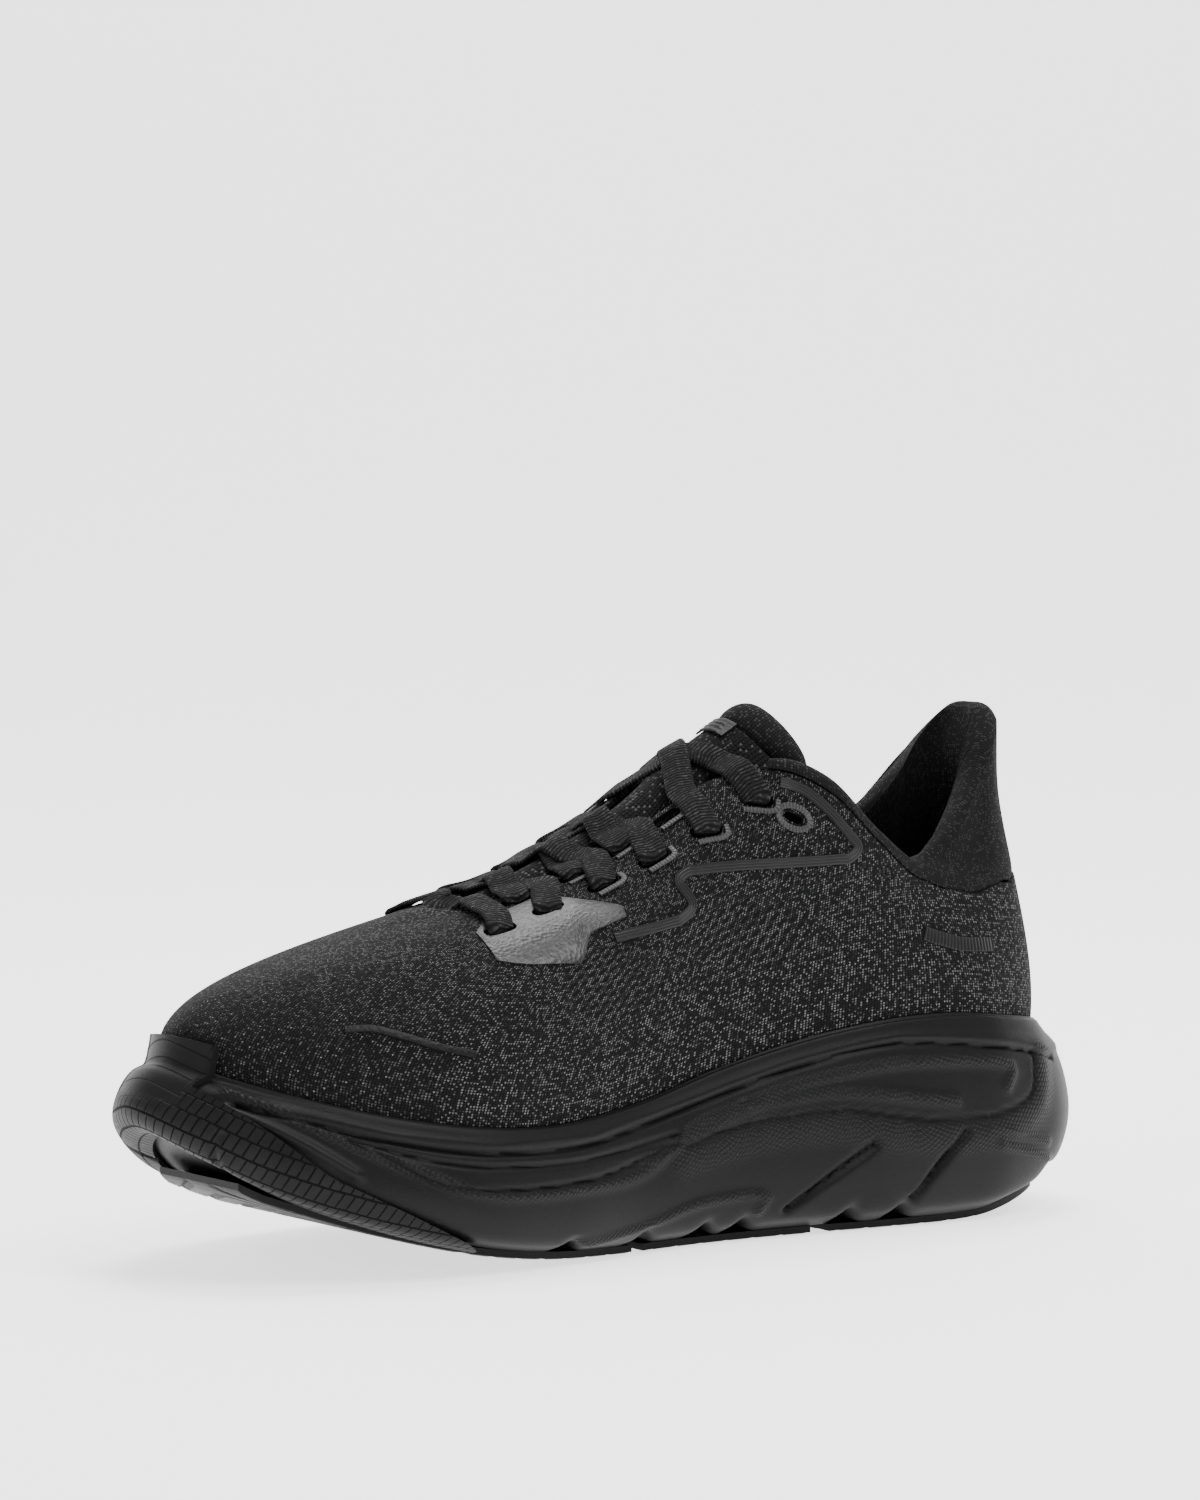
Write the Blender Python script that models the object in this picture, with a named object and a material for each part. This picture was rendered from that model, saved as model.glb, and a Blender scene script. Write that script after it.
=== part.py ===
"""A cushioned road running shoe, right foot, toe towards +X and inner side towards +Y.

Sizes are in millimetres until a mesh is made. The shoe is described at 28 stations that run from
the middle of the heel (0) along the inner side to the middle of the toe (14) and back along the
outer side. Every closed curve of the shoe is a smooth curve through those stations.
"""

import math

import bmesh
import bpy
import numpy as np
from mathutils import Vector
from mathutils.bvhtree import BVHTree

MM = 0.001
GAP = 0.3  # between neighbours that touch on the real shoe

# Overall sizes
LENGTH = 300.0  # foam sole, heel to toe
WIDTH = 115.0  # foam sole across the ball
HEIGHT = 144.0  # floor to the top of the heel tab
DESIGN = (302.0, 115.0, 144.0)  # the overall sizes that the station tables below are written at

# Sole
RUBBER = 2.2  # outsole pads
BUMPER = 1.5  # rubber sheet that wraps the toe
TREAD_INSET = 9.0  # from the widest outline to the edge of the flat underside
BOARD = 1.2  # stitched board that closes the upper underneath
INSOLE = 4.5  # loose sockliner
INSOLE_ROOM = 2.6  # between the sockliner and the wall beside it
TUCK = 3.2  # how far the upper turns in under the foot
STAND_IN = 0.8  # from the foam's inner wall to the upper

# Upper, from the outside in
KNIT = 1.6
BACKING = 0.6  # film behind the knit at the lace holes, and the gussets
COUNTER = 1.2
PUFF = 0.8
SKIN = 1.2  # collar lining
COLLAR_PAD = 5.0  # collar foam at its thickest
COUNTER_DEPTH = KNIT + GAP
PAD_DEPTH = COUNTER_DEPTH + COUNTER + GAP
FILM = 0.5  # films, trims and prints stuck on the knit
FILM_GAP = 0.35

# Tongue and lace
TONGUE = 5.0
LABEL = 0.6
LACE_WIDTH = 7.6
LACE = 1.2
BUNCH_WIDTH = 2.4  # the lace where it is gathered to pass under the eyestay
BUNCH = 1.9
LACE_ROOM = 0.4  # round the lace where it passes something
LACE_OVER = FILM_GAP + FILM + LACE_ROOM + LACE / 2  # from the knit to the lace's middle line
SLOT_LONG = LACE_WIDTH + 2.2
SLOT_WIDE = LACE + 3.0
SPARE_SLOT = (6.0, 2.6)
TAPE_LINE = 21.0  # how far out the eyestay tape runs
TAPE_WIDTH = 3.0
LACE_DEPTH = KNIT + 2 * GAP + BACKING + LACE_ROOM + BUNCH_WIDTH / 2
TONGUE_DEPTH = LACE_DEPTH + BUNCH_WIDTH / 2 + LACE_ROOM + GAP
LACE_STEP = 3.6
PAD_STEP = 9.0  # mesh spacing along the outsole pads
CUTTER_REACH = (-6, 4)  # how far a lace hole's cutter goes in and out
RING_REACH = (5.0, 3.1)  # half sizes of the ring round the spare hole
RING_WIDTH = 1.6
TIP_LENGTH = 12.0
TIP_RADIUS = 1.7

STEPS = 2  # mesh columns from one station to the next
TURN = 28
TOE = TURN // 2

# One row for each station: x, half width inside, half width outside, rim height inside and
# outside, height of the tread, how far the upper stands in from the outline, footbed height.
SOLE = (
    (0, 0, 0, 52, 52, 22, 15, 38),
    (5, 21, 22, 53, 53, 16, 12, 37.5),
    (20, 37.5, 38, 54.5, 54, 7.5, 9, 37),
    (42, 45, 45.7, 57, 56.5, 1.5, 6.5, 36.5),
    (62, 46, 47.2, 58.7, 58, 0, 6, 36),
    (85, 45, 48.8, 58, 56.5, 0, 6, 35.5),
    (110, 42.5, 51, 54.5, 52.5, 0, 6, 34.5),
    (138, 41.8, 55.5, 48.5, 47, 0, 6, 33),
    (168, 45, 59.5, 41, 40.5, 0, 6, 30.5),
    (198, 51.5, 61, 38, 38, 1.5, 6, 28.5),
    (226, 54, 58, 39.5, 40, 5.5, 6.5, 29.5),
    (254, 49, 50, 43.8, 44.5, 12.5, 7.5, 33),
    (278, 37.5, 37.5, 49.5, 50, 21, 8.5, 39),
    (295, 21, 20.5, 54.5, 54.5, 31, 9.5, 44.5),
    (302, 1, 1, 57, 57, 37, 10.5, 47),
)

# What is cut away from the toe rubber beside its middle flap, as (x, z) corners
BUMPER_EDGE = (
    (180, -20),
    (215, -2),
    (226.8, 7.3),
    (269, 29),
    (285.7, 44.4),
    (297, 54),
    (297, 100),
    (180, 100),
)
BUMPER_FLAP = 17.0  # half width of the middle flap

# One row for each station of the inner side, mirrored for the outer side: the top edge of the
# upper (x, y, z), the way the wall leaves the sole (x, y, z) and the way it comes up to the edge.
EDGE = (
    ((20.5, 0, 138), (-2, 0, 28), (8, 0, -20)),
    ((23, 10.5, 137), (-2, 1, 28), (7, 2, -20)),
    ((33, 20.5, 128), (-1, 1.5, 26), (4, 4, -20)),
    ((49, 28, 109), (0, 1.5, 20), (1, 3, -18)),
    ((65, 32, 99), (0, 1.5, 16), (0, 3.5, -14)),
    ((81, 33, 107.5), (0, 1.5, 18), (1, 2.5, -18)),
    ((97, 31, 122.5), (0, 2, 22), (4, 3, -24)),
    ((113, 26, 129.5), (-1, 3, 26), (7, 6, -22)),
    ((128, 15, 126.5), (-3, 4, 32), (10, 19, -13)),
    ((146, 12, 116.5), (-4, 3.5, 32), (10, 21, -12)),
    ((165, 11, 106), (-4, 3, 30), (12, 22, -10)),
    ((183, 10, 99), (-1, 2.5, 27), (14, 21, -8.5)),
    ((197, 8, 95.5), (2, 2.5, 23), (26, 19, -9)),
    ((205, 4.5, 94.3), (3, 1.5, 20), (42, 11, -12)),
    ((207.5, 0, 94.5), (3.5, 0, 18), (53, 0, -16)),
)

# Where the knit stops and the lining comes over, as a share of the wall's height, and how thick
# the collar foam is, as a share of its thickest, at the stations from the heel to the eyestay.
SEAM = (0.50, 0.49, 0.50, 0.66, 0.93, 0.985, 0.985, 0.985)
PADDING = (0.8, 0.85, 1.0, 1.0, 0.95, 0.85, 0.6, 0.25)
COLLAR_END = 6.5  # station where the lining stops, beside the tongue

# Tongue: x of its middle line, height there, half width, drop at its sides, set-back of its sides
TONGUE_ROWS = (
    (224, 83.5, 22, 8, 0),
    (209, 90, 25, 12, 0),
    (194, 97, 28, 15, 1),
    (177, 104, 29, 17, 2),
    (160, 112, 29, 18, 3),
    (145, 120.5, 29, 20, 4),
    (132, 129.5, 24, 18, 6),
    (121, 136.5, 21, 17, 8),
    (112, 141.5, 19.5, 16.5, 10),
    (105, 145, 18, 16, 11),
)

# Lace holes: x and y of each one's middle on the inner side, mirrored for the outer side
OUTER_HOLES = ((204.5, 26), (188.4, 25), (170.5, 25), (154.5, 26), (137.5, 27), (120.5, 27))
INNER_HOLES = ((192, 15.4), (173.5, 15.8), (158.7, 16.3), (144.3, 17.3))
SPARE_HOLE = (110.5, 30.6)

LATERAL = -1
MEDIAL = 1
SIDES = {"medial": MEDIAL, "lateral": LATERAL}


def clear_scene():
    for thing in list(bpy.data.objects):
        bpy.data.objects.remove(thing, do_unlink=True)


# ---------------------------------------------------------------- curves and surfaces


def scaled(points):
    """Table coordinates brought to the overall sizes."""
    ratio = np.array([LENGTH, WIDTH, HEIGHT]) / np.array(DESIGN)
    return np.asarray(points, float) * ratio


def ring(inner, outer):
    """Closed list of station rows: heel to toe by the inner side, back by the outer side."""
    return np.array(list(inner) + list(outer[-2:0:-1]), float)


def along(control, t):
    """Smooth closed curve through the control rows, at station parameters t."""
    t = np.asarray(t, float)
    k = np.floor(t).astype(int)
    f = (t - k)[..., None]
    before, here, ahead, beyond = (control[(k + step) % TURN] for step in (-1, 0, 1, 2))
    leave = (ahead - before) / 2
    arrive = (beyond - here) / 2
    return (
        (2 * f**3 - 3 * f**2 + 1) * here
        + (f**3 - 2 * f**2 + f) * leave
        + (3 * f**2 - 2 * f**3) * ahead
        + (f**3 - f**2) * arrive
    )


def sole_ring(column_in, column_out):
    values_in = [row[column_in] for row in SOLE]
    values_out = [row[column_out] for row in SOLE]
    return ring([[v] for v in values_in], [[v] for v in values_out])


OUTLINE = scaled(
    ring([(r[0], r[1], 0) for r in SOLE], [(r[0], -r[2], 0) for r in SOLE])
)
RIM = sole_ring(3, 4) * HEIGHT / DESIGN[2]
TREAD = sole_ring(5, 5) * HEIGHT / DESIGN[2]
BITE = sole_ring(6, 6)
FOOTBED = sole_ring(7, 7) * HEIGHT / DESIGN[2]


def mirrored(column):
    inner = [row[column] for row in EDGE]
    outer = [(x, -y, z) for x, y, z in inner]
    return scaled(ring(inner, outer))


TOP, LEAVE, ARRIVE = (mirrored(column) for column in range(3))


def outline(t, inset, height):
    """Points on the sole's outline, moved in by inset, at the given height."""
    t = np.asarray(t, float)
    small = 0.02
    direction = along(OUTLINE, t + small) - along(OUTLINE, t - small)
    direction /= np.linalg.norm(direction, axis=-1, keepdims=True)
    outward = np.stack([-direction[..., 1], direction[..., 0]], -1)
    points = along(OUTLINE, t)
    points[..., :2] -= outward * np.asarray(inset)[..., None]
    points[..., 2] = height
    return points


def value(control, t):
    return along(control, t)[..., 0]


def tread(t):
    """Height of the rubber's underside: flat on the floor from heel to ball, then rising."""
    return np.maximum(value(TREAD, t), 0.0)


def upper(t, v):
    """Outer face of the upper: v from -1 at the footbed to 0 at the rim and 1 at the top edge."""
    t, v = np.broadcast_arrays(np.asarray(t, float), np.asarray(v, float))
    bite, rim, bed = value(BITE, t), value(RIM, t), value(FOOTBED, t)
    foot = outline(t, bite + TUCK, bed + GAP)
    corner = outline(t, bite + STAND_IN, bed + 0.4 * (rim - bed))
    start = outline(t, bite + STAND_IN, rim + 0.5)
    end = along(TOP, t)
    first = start + along(LEAVE, t)
    second = end + along(ARRIVE, t)
    a = np.clip(v + 1, 0, 1)[..., None]
    cup = (1 - a) ** 2 * foot + 2 * a * (1 - a) * corner + a**2 * start
    b = np.clip(v, 0, None)[..., None]
    wall = (
        (1 - b) ** 3 * start
        + 3 * b * (1 - b) ** 2 * first
        + 3 * b**2 * (1 - b) * second
        + b**3 * end
    )
    return np.where(v[..., None] < 0, cup, wall)


def facing(t, v):
    """Outward direction of the upper's outer face."""
    t, v = np.broadcast_arrays(np.asarray(t, float), np.asarray(v, float))
    small = 0.02
    low = np.where(v > 1 - small, v - small, v)
    across = upper(t + small, v) - upper(t - small, v)
    up = upper(t, low + small) - upper(t, low)
    out = np.cross(up, across)
    return out / np.linalg.norm(out, axis=-1, keepdims=True)


def layer(t, v, height):
    """The upper's face moved out by height (in when it is negative)."""
    t, v = np.broadcast_arrays(np.asarray(t, float), np.asarray(v, float))
    return upper(t, v) + facing(t, v) * np.asarray(height, float)[..., None]


def knit_top(t):
    """Share of the wall's height at which the knit meets the lining."""
    t = np.abs((np.asarray(t, float) + TOE) % TURN - TOE)
    return np.interp(t, range(len(SEAM)), SEAM)


def columns(start, end):
    """Station parameters of the mesh columns between two stations."""
    count = max(1, round((end - start) * STEPS))
    return np.linspace(start, end, count + 1)


ROUND = np.arange(TURN * STEPS) / STEPS
SHARES = (0, 0.14, 0.28, 0.42, 0.56, 0.7, 0.84, 0.94, 1.0)  # rows of the knit above the rim


def knit_rows(t, shares):
    """Height shares of the knit's rows at the stations t, one row for each share of its height."""
    top = knit_top(t) - 0.004
    return np.array([share * top if share > 0 else share + 0 * top for share in shares])


# ---------------------------------------------------------------- meshes


def material(name, colour, roughness, metallic=0.0):
    made = bpy.data.materials.new(name)
    made.use_nodes = True
    shader = made.node_tree.nodes["Principled BSDF"]
    shader.inputs["Base Color"].default_value = (*colour, 1)
    shader.inputs["Roughness"].default_value = roughness
    shader.inputs["Metallic"].default_value = metallic
    return made


def new_object(name, vertices, faces, look):
    mesh = bpy.data.meshes.new(name)
    mesh.from_pydata([Vector(p) * MM for p in vertices], [], faces)
    work = bmesh.new()
    work.from_mesh(mesh)
    bmesh.ops.recalc_face_normals(work, faces=work.faces)
    work.to_mesh(mesh)
    work.free()
    mesh.shade_smooth()
    mesh.set_sharp_from_angle(angle=math.radians(40))
    mesh.materials.append(look)
    made = bpy.data.objects.new(name, mesh)
    bpy.context.collection.objects.link(made)
    return made


def grid_faces(rows, cols, first=0, closed=False):
    reach = cols if closed else cols - 1
    return [
        (
            first + r * cols + c,
            first + r * cols + (c + 1) % cols,
            first + (r + 1) * cols + (c + 1) % cols,
            first + (r + 1) * cols + c,
        )
        for r in range(rows - 1)
        for c in range(reach)
    ]


def shell(front, back, closed=False):
    """Vertices and faces of the closed skin between two grids of rows and columns."""
    rows, cols = front.shape[:2]
    count = rows * cols
    faces = grid_faces(rows, cols, 0, closed)
    faces += [face[::-1] for face in grid_faces(rows, cols, count, closed)]
    for c in range(cols if closed else cols - 1):
        n = (c + 1) % cols
        last = (rows - 1) * cols
        faces.append((n, c, count + c, count + n))
        faces.append((last + c, last + n, count + last + n, count + last + c))
    if not closed:
        for r in range(rows - 1):
            a, b = r * cols, (r + 1) * cols
            faces.append((a, b, count + b, count + a))
            a, b = a + cols - 1, b + cols - 1
            faces.append((b, a, count + a, count + b))
    return np.concatenate([front.reshape(-1, 3), back.reshape(-1, 3)]), faces


def ladder(cols, first):
    """Faces that close a ring of columns from side to side, like the rungs of a ladder."""
    half = cols // 2
    faces = [(first, first + 1, first + cols - 1)]
    faces += [(first + c, first + c + 1, first + cols - c - 1, first + cols - c) for c in range(1, half - 1)]
    faces.append((first + half - 1, first + half, first + half + 1))
    return faces


def loft(name, rings, look):
    """Closed body through a stack of rings, its two ends closed from side to side."""
    rings = np.array(rings)
    rows, cols = rings.shape[:2]
    faces = grid_faces(rows, cols, 0, True)
    faces += [face[::-1] for face in ladder(cols, 0)]
    faces += ladder(cols, (rows - 1) * cols)
    return new_object(name, rings.reshape(-1, 3), faces, look)


def plate(name, front, back, look, closed=False):
    vertices, faces = shell(front, back, closed)
    return new_object(name, vertices, faces, look)


def group(name, shells, look):
    """One object from several separate closed skins."""
    vertices, faces = [], []
    for points, polygons in shells:
        start = sum(len(part) for part in vertices)
        vertices.append(points)
        faces += [tuple(start + corner for corner in face) for face in polygons]
    return new_object(name, np.concatenate(vertices), faces, look)


def strip(centres, across, out, width, low, high, closed=False):
    """Skin of a flat band: centres and directions per point, low and high along out."""
    centres, across, out = (np.asarray(a, float) for a in (centres, across, out))
    half = np.asarray(width, float) / 2
    half = np.broadcast_to(half, len(centres))[:, None]
    offsets = [(-1, high), (1, high), (1, low), (-1, low)]
    corners = [centres + across * half * side + out * level for side, level in offsets]
    grid = np.stack(corners, 1)
    count = len(centres)
    faces = []
    for i in range(count if closed else count - 1):
        n = (i + 1) % count
        faces += [(4 * i + k, 4 * i + (k + 1) % 4, 4 * n + (k + 1) % 4, 4 * n + k) for k in range(4)]
    if not closed:
        last = 4 * (count - 1)
        faces.append((0, 1, 2, 3))
        faces.append((last + 3, last + 2, last + 1, last))
    return grid.reshape(-1, 3), faces


def smooth_path(points, spacing):
    """Points every spacing along a smooth open curve through the given points."""
    p = np.asarray(points, float)
    p = np.vstack([2 * p[0] - p[1], p, 2 * p[-1] - p[-2]])
    out = []
    for before, here, ahead, beyond in zip(p, p[1:], p[2:], p[3:], strict=False):
        count = max(1, round(np.linalg.norm(ahead - here) / spacing))
        for f in np.arange(count)[:, None] / count:
            leave, arrive = (ahead - before) / 2, (beyond - here) / 2
            out.append(
                (2 * f**3 - 3 * f**2 + 1) * here
                + (f**3 - 2 * f**2 + f) * leave
                + (3 * f**2 - 2 * f**3) * ahead
                + (f**3 - f**2) * arrive
            )
    out.append(p[-2])
    return np.array(out)


# ---------------------------------------------------------------- finding places on the upper

PLACES_T = np.linspace(0, TOE, 141)[:, None]
PLACES_V = np.linspace(0, 1, 61)[None, :]
PLACES = upper(PLACES_T, PLACES_V)


def find(target, axes, side):
    """Station parameter and height share of the point that lies at target in the two axes."""
    scale = np.array([LENGTH, WIDTH, HEIGHT]) / np.array(DESIGN)
    target = np.asarray(target, float) * scale[list(axes)]
    if side == LATERAL:
        grid = upper(TURN - PLACES_T, PLACES_V)
    else:
        grid = PLACES
    distance = np.linalg.norm(grid[..., axes] - target, axis=-1)
    row, col = np.unravel_index(distance.argmin(), distance.shape)
    t = PLACES_T[row, 0] if side == MEDIAL else TURN - PLACES_T[row, 0]
    v = PLACES_V[0, col]
    step = 0.01
    for _ in range(4):
        here = upper(t, v)[..., axes]
        slope = np.stack([upper(t + step, v)[..., axes] - here, upper(t, v - step)[..., axes] - here], -1)
        move = np.linalg.lstsq(slope, target - here, rcond=None)[0] * step
        t, v = t + np.clip(move[0], -0.1, 0.1), float(np.clip(v - np.clip(move[1], -0.05, 0.05), 0.0, 1.0))
    return t, v


def on_side(x, z, side):
    return find((x, z), (0, 2), side)


def on_top(x, y, side):
    return find((x, y * side), (0, 1), side)


def frames(points):
    """Directions along a path of points."""
    direction = np.gradient(np.asarray(points, float), axis=0)
    return direction / np.linalg.norm(direction, axis=1, keepdims=True)


def surface_band(places, width, low=FILM_GAP, high=FILM_GAP + FILM):
    """Skin of a band laid on the upper along (t, v) places."""
    places = np.asarray(places, float)
    t, v = places.T
    centres = upper(t, v)
    out = facing(t, v)
    across = np.cross(out, frames(centres))
    across /= np.linalg.norm(across, axis=1, keepdims=True)
    return strip(centres, across, out, width, low, high)


# ---------------------------------------------------------------- sole


def foam_rings(t):
    """Rings of the foam block, from its flat underside up the wall and down inside to the footbed."""
    bite, rim, bed = value(BITE, t), value(RIM, t), value(FOOTBED, t)
    low = tread(t) + RUBBER + GAP
    tall = rim - low
    levels = (
        (TREAD_INSET, low),
        (3.2, low + 0.07 * tall),
        (0.6, low + 0.2 * tall),
        (0, low + 0.38 * tall),
        (1.0 + 0.15 * (bite - 6), low + 0.62 * tall),
        (2.6 + 0.45 * (bite - 6), low + 0.82 * tall),
        (bite - 1.6, rim - 1.2),
        (bite - 0.5, rim),
        (bite + 0.4, rim - 0.3),
        (bite + 0.4, bed + 0.4 * (rim - bed)),
        (bite + 2.8, bed),
    )
    return np.array([outline(t, np.broadcast_to(inset, t.shape), z) for inset, z in levels])


def make_toe_bumper(look):
    """Rubber sheet round the toe: full height in the middle, running out low along both sides."""
    t = columns(TOE - 4, TOE + 4)
    on_foam = foam_rings(t)[:7]
    on_upper = np.array([layer(t, v, BUMPER / 2 + 0 * t) for v in (0.05, 0.12)])
    base = np.concatenate([on_foam, on_upper])
    out = grid_normals(base)
    out *= np.sign(out[3, len(t) // 2, 0])
    bumper = plate("toe_bumper", base + out * (1.5 * GAP + BUMPER), base + out * 1.5 * GAP, look)
    x_scale, y_scale, z_scale = LENGTH / DESIGN[0], WIDTH / DESIGN[1], HEIGHT / DESIGN[2]
    corners = [(x * x_scale, z * z_scale) for x, z in BUMPER_EDGE]
    count = len(corners)
    faces = [(k, (k + 1) % count, count + (k + 1) % count, count + k) for k in range(count)]
    faces += [tuple(range(count)), tuple(range(2 * count - 1, count - 1, -1))]
    waste = []
    for side in SIDES.values():
        sides = [side * y * y_scale for y in (BUMPER_FLAP, 90)]
        waste.append((np.array([(x, y, z) for y in sides for x, z in corners]), faces))
    cut(bumper, hidden(group("bumper_cutter", waste, look)))


def make_midsole(look):
    loft("midsole", foam_rings(ROUND), look)


def tread_height(x):
    table = np.array([(row[0], row[5]) for row in SOLE], float)
    t = np.interp(x, table[:, 0] * LENGTH / DESIGN[0], range(len(SOLE)))
    return tread(t)


def sole_half_width(x, side):
    """Half width of the flat underside at x."""
    t = np.linspace(0, TOE, 400)
    edge = outline(t if side == MEDIAL else TURN - t, np.full(t.shape, TREAD_INSET), 0.0)
    order = np.argsort(edge[:, 0])
    return np.interp(x, edge[order, 0], np.abs(edge[order, 1]))


def tread_pad(x_start, x_end, inner, outer):
    """Skin of one rubber pad: x range, and the share of the half width where its sides lie."""
    count = max(2, round((x_end - x_start) / PAD_STEP)) + 1
    x = np.linspace(x_start, x_end, count) * LENGTH / DESIGN[0]
    sides = []
    for share in (inner, outer):
        width = sole_half_width(x, MEDIAL if share > 0 else LATERAL)
        sides.append(width * share)
    y = np.linspace(sides[0], sides[1], 4)
    x = np.broadcast_to(x, y.shape)
    low = tread_height(x)
    bottom = np.stack([x, y, low], -1)
    top = np.stack([x, y, low + RUBBER], -1)
    return shell(top, bottom)


def make_outsole(look):
    pads = {
        "outsole_toe": (228, 283, -0.96, 0.96),
        "outsole_ball_medial": (168, 226, 0.28, 0.98),
        "outsole_ball_lateral": (160, 226, -0.98, -0.28),
        "outsole_ball_center": (172, 226, -0.24, 0.24),
        "outsole_arch_medial": (106, 164, 0.4, 0.98),
        "outsole_arch_lateral": (98, 156, -0.98, -0.4),
        "outsole_heel_medial": (24, 100, 0.3, 0.97),
        "outsole_heel_lateral": (20, 94, -0.97, -0.3),
        "outsole_heel_center": (22, 62, -0.24, 0.24),
    }
    for name, place in pads.items():
        new_object(name, *tread_pad(*place), look)


def make_board(look):
    bite, bed = value(BITE, ROUND), value(FOOTBED, ROUND)
    inset = bite + TUCK + KNIT + GAP
    rings = [outline(ROUND, inset, bed + GAP + level) for level in (0, BOARD)]
    return loft("strobel_board", rings, look)


def lining_depth(t, v):
    """How deep the lining's inner face lies below the upper's outer face."""
    t = np.abs((np.asarray(t, float) + TOE) % TURN - TOE)
    share = np.interp(t, range(len(PADDING)), PADDING)
    swell = np.interp(v, (0.0, 0.25, 0.6, 0.85, 1.0), (0.25, 0.35, 0.8, 1.0, 0.9))
    return PAD_DEPTH + COLLAR_PAD * share * swell + GAP + SKIN


def make_sockliner(look):
    bite, bed = value(BITE, ROUND), value(FOOTBED, ROUND)
    beside = KNIT + TUCK
    heel = np.clip((8.2 - np.abs((ROUND + TOE) % TURN - TOE)) / 1.2, 0, 1)
    inset = bite + beside + INSOLE_ROOM - 1.2 + heel * 2.6
    base = bed + GAP + BOARD + GAP
    levels = ((inset + 1, base), (inset, base + 1), (inset, base + INSOLE - 1), (inset + 1, base + INSOLE))
    rings = [outline(ROUND, place, z) for place, z in levels]
    return loft("sockliner", rings, look)


# ---------------------------------------------------------------- lace holes


def hole_frame(x, y, side):
    """Middle of a lace hole, and its directions: along the eyestay, across it and out."""
    t, v = on_top(x, y, side)
    out = facing(t, v)
    lane = along(TOP, np.array(t) + 0.2 * side) - along(TOP, np.array(t) - 0.2 * side)
    lane -= out * np.dot(lane, out)
    lane /= np.linalg.norm(lane)
    return upper(t, v), lane, np.cross(out, lane), out


def hole_cutter(x, y, side, long, wide):
    """Closed eight-sided slot through every layer at a lace hole."""
    centre, lane, across, out = hole_frame(x, y, side)
    corner = wide / 3
    outline_points = [
        (-long / 2, -wide / 2 + corner),
        (-long / 2 + corner, -wide / 2),
        (long / 2 - corner, -wide / 2),
        (long / 2, -wide / 2 + corner),
        (long / 2, wide / 2 - corner),
        (long / 2 - corner, wide / 2),
        (-long / 2 + corner, wide / 2),
        (-long / 2, wide / 2 - corner),
    ]
    ends = []
    for level in CUTTER_REACH:
        ends.append([centre + lane * a + across * b + out * level for a, b in outline_points])
    vertices = np.array(ends[0] + ends[1])
    faces = [(k, (k + 1) % 8, 8 + (k + 1) % 8, 8 + k) for k in range(8)]
    faces += [tuple(range(7, -1, -1)), tuple(range(8, 16))]
    return vertices, faces


def hidden(cutter):
    cutter.hide_render = True
    cutter.display_type = "WIRE"
    return cutter


def make_hole_cutter(look):
    holes = []
    for side in SIDES.values():
        for x, y in OUTER_HOLES + INNER_HOLES:
            holes.append(hole_cutter(x, y, side, SLOT_LONG, SLOT_WIDE))
        holes.append(hole_cutter(*SPARE_HOLE, side, *SPARE_SLOT))
    return hidden(group("hole_cutter", holes, look))


def cut(thing, cutter):
    change = thing.modifiers.new("lace holes", "BOOLEAN")
    change.operation = "DIFFERENCE"
    change.solver = "EXACT"
    change.use_self = True
    change.object = cutter


# ---------------------------------------------------------------- upper


def make_knit(look, cutter):
    v = knit_rows(ROUND, (-1, -0.5) + SHARES)
    t = np.broadcast_to(ROUND, v.shape)
    knit = plate("upper_knit", layer(t, v, 0), layer(t, v, -KNIT), look, closed=True)
    cut(knit, cutter)
    return knit


def wall_layer(name, t, shares, outside, inside, look):
    """A layer behind the knit, on the knit's own rows."""
    v = knit_rows(t, shares)
    t = np.broadcast_to(t, v.shape)
    return plate(name, layer(t, v, outside(t, v)), layer(t, v, inside(t, v)), look)


def even(depth):
    return lambda t, v: np.full(np.shape(t), -depth)


def make_stiffeners(heel_look, toe_look):
    deep = COUNTER_DEPTH
    wall_layer("heel_counter", columns(-3.5, 3.5), SHARES[:7], even(deep), even(deep + COUNTER), heel_look)
    wall_layer("toe_puff", columns(TOE - 2, TOE + 2), SHARES[:5], even(deep), even(deep + PUFF), toe_look)


def collar_path(t):
    """Rows of points from the seam over the rolled top edge and down inside to the footbed."""
    rows = []
    seam = knit_top(t)
    for share in (0, 0.5, 1):
        v = (seam + 0.004) * (1 - share) + share
        rows.append(layer(t, v, 0 * t))
    edge, out = upper(t, 1 + 0 * t), facing(t, 1 + 0 * t)
    rise = edge - upper(t, 0.98 + 0 * t)
    rise /= np.linalg.norm(rise, axis=-1, keepdims=True)
    half = lining_depth(t, 1 + 0 * t)[:, None] / 2
    for turn in np.radians((30, 60, 90, 120, 150)):
        rows.append(edge - out * half * (1 - math.cos(turn)) + rise * half * math.sin(turn))
    for v in (1.0, 0.8, 0.6, 0.4, 0.2, 0.03):
        v = v + 0 * t
        rows.append(layer(t, v, -lining_depth(t, v)))
    return np.array(rows)


def grid_normals(grid):
    down = np.gradient(grid, axis=0)
    across = np.gradient(grid, axis=1)
    out = np.cross(down, across)
    return out / np.linalg.norm(out, axis=-1, keepdims=True)


def make_collar(skin_look, foam_look):
    t = columns(-COLLAR_END, COLLAR_END)
    path = collar_path(t)
    plate("collar_lining", path, path - grid_normals(path) * SKIN, skin_look)
    t = columns(-COLLAR_END + 1 / STEPS, COLLAR_END - 1 / STEPS)
    v = np.array([0.2, 0.4, 0.6, 0.8])[:, None] + 0 * t
    t = np.broadcast_to(t, v.shape)
    inner = layer(t, v, -(lining_depth(t, v) - SKIN - 2 * GAP))
    plate("collar_foam", layer(t, v, -PAD_DEPTH + 0 * t), inner, foam_look)


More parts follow.
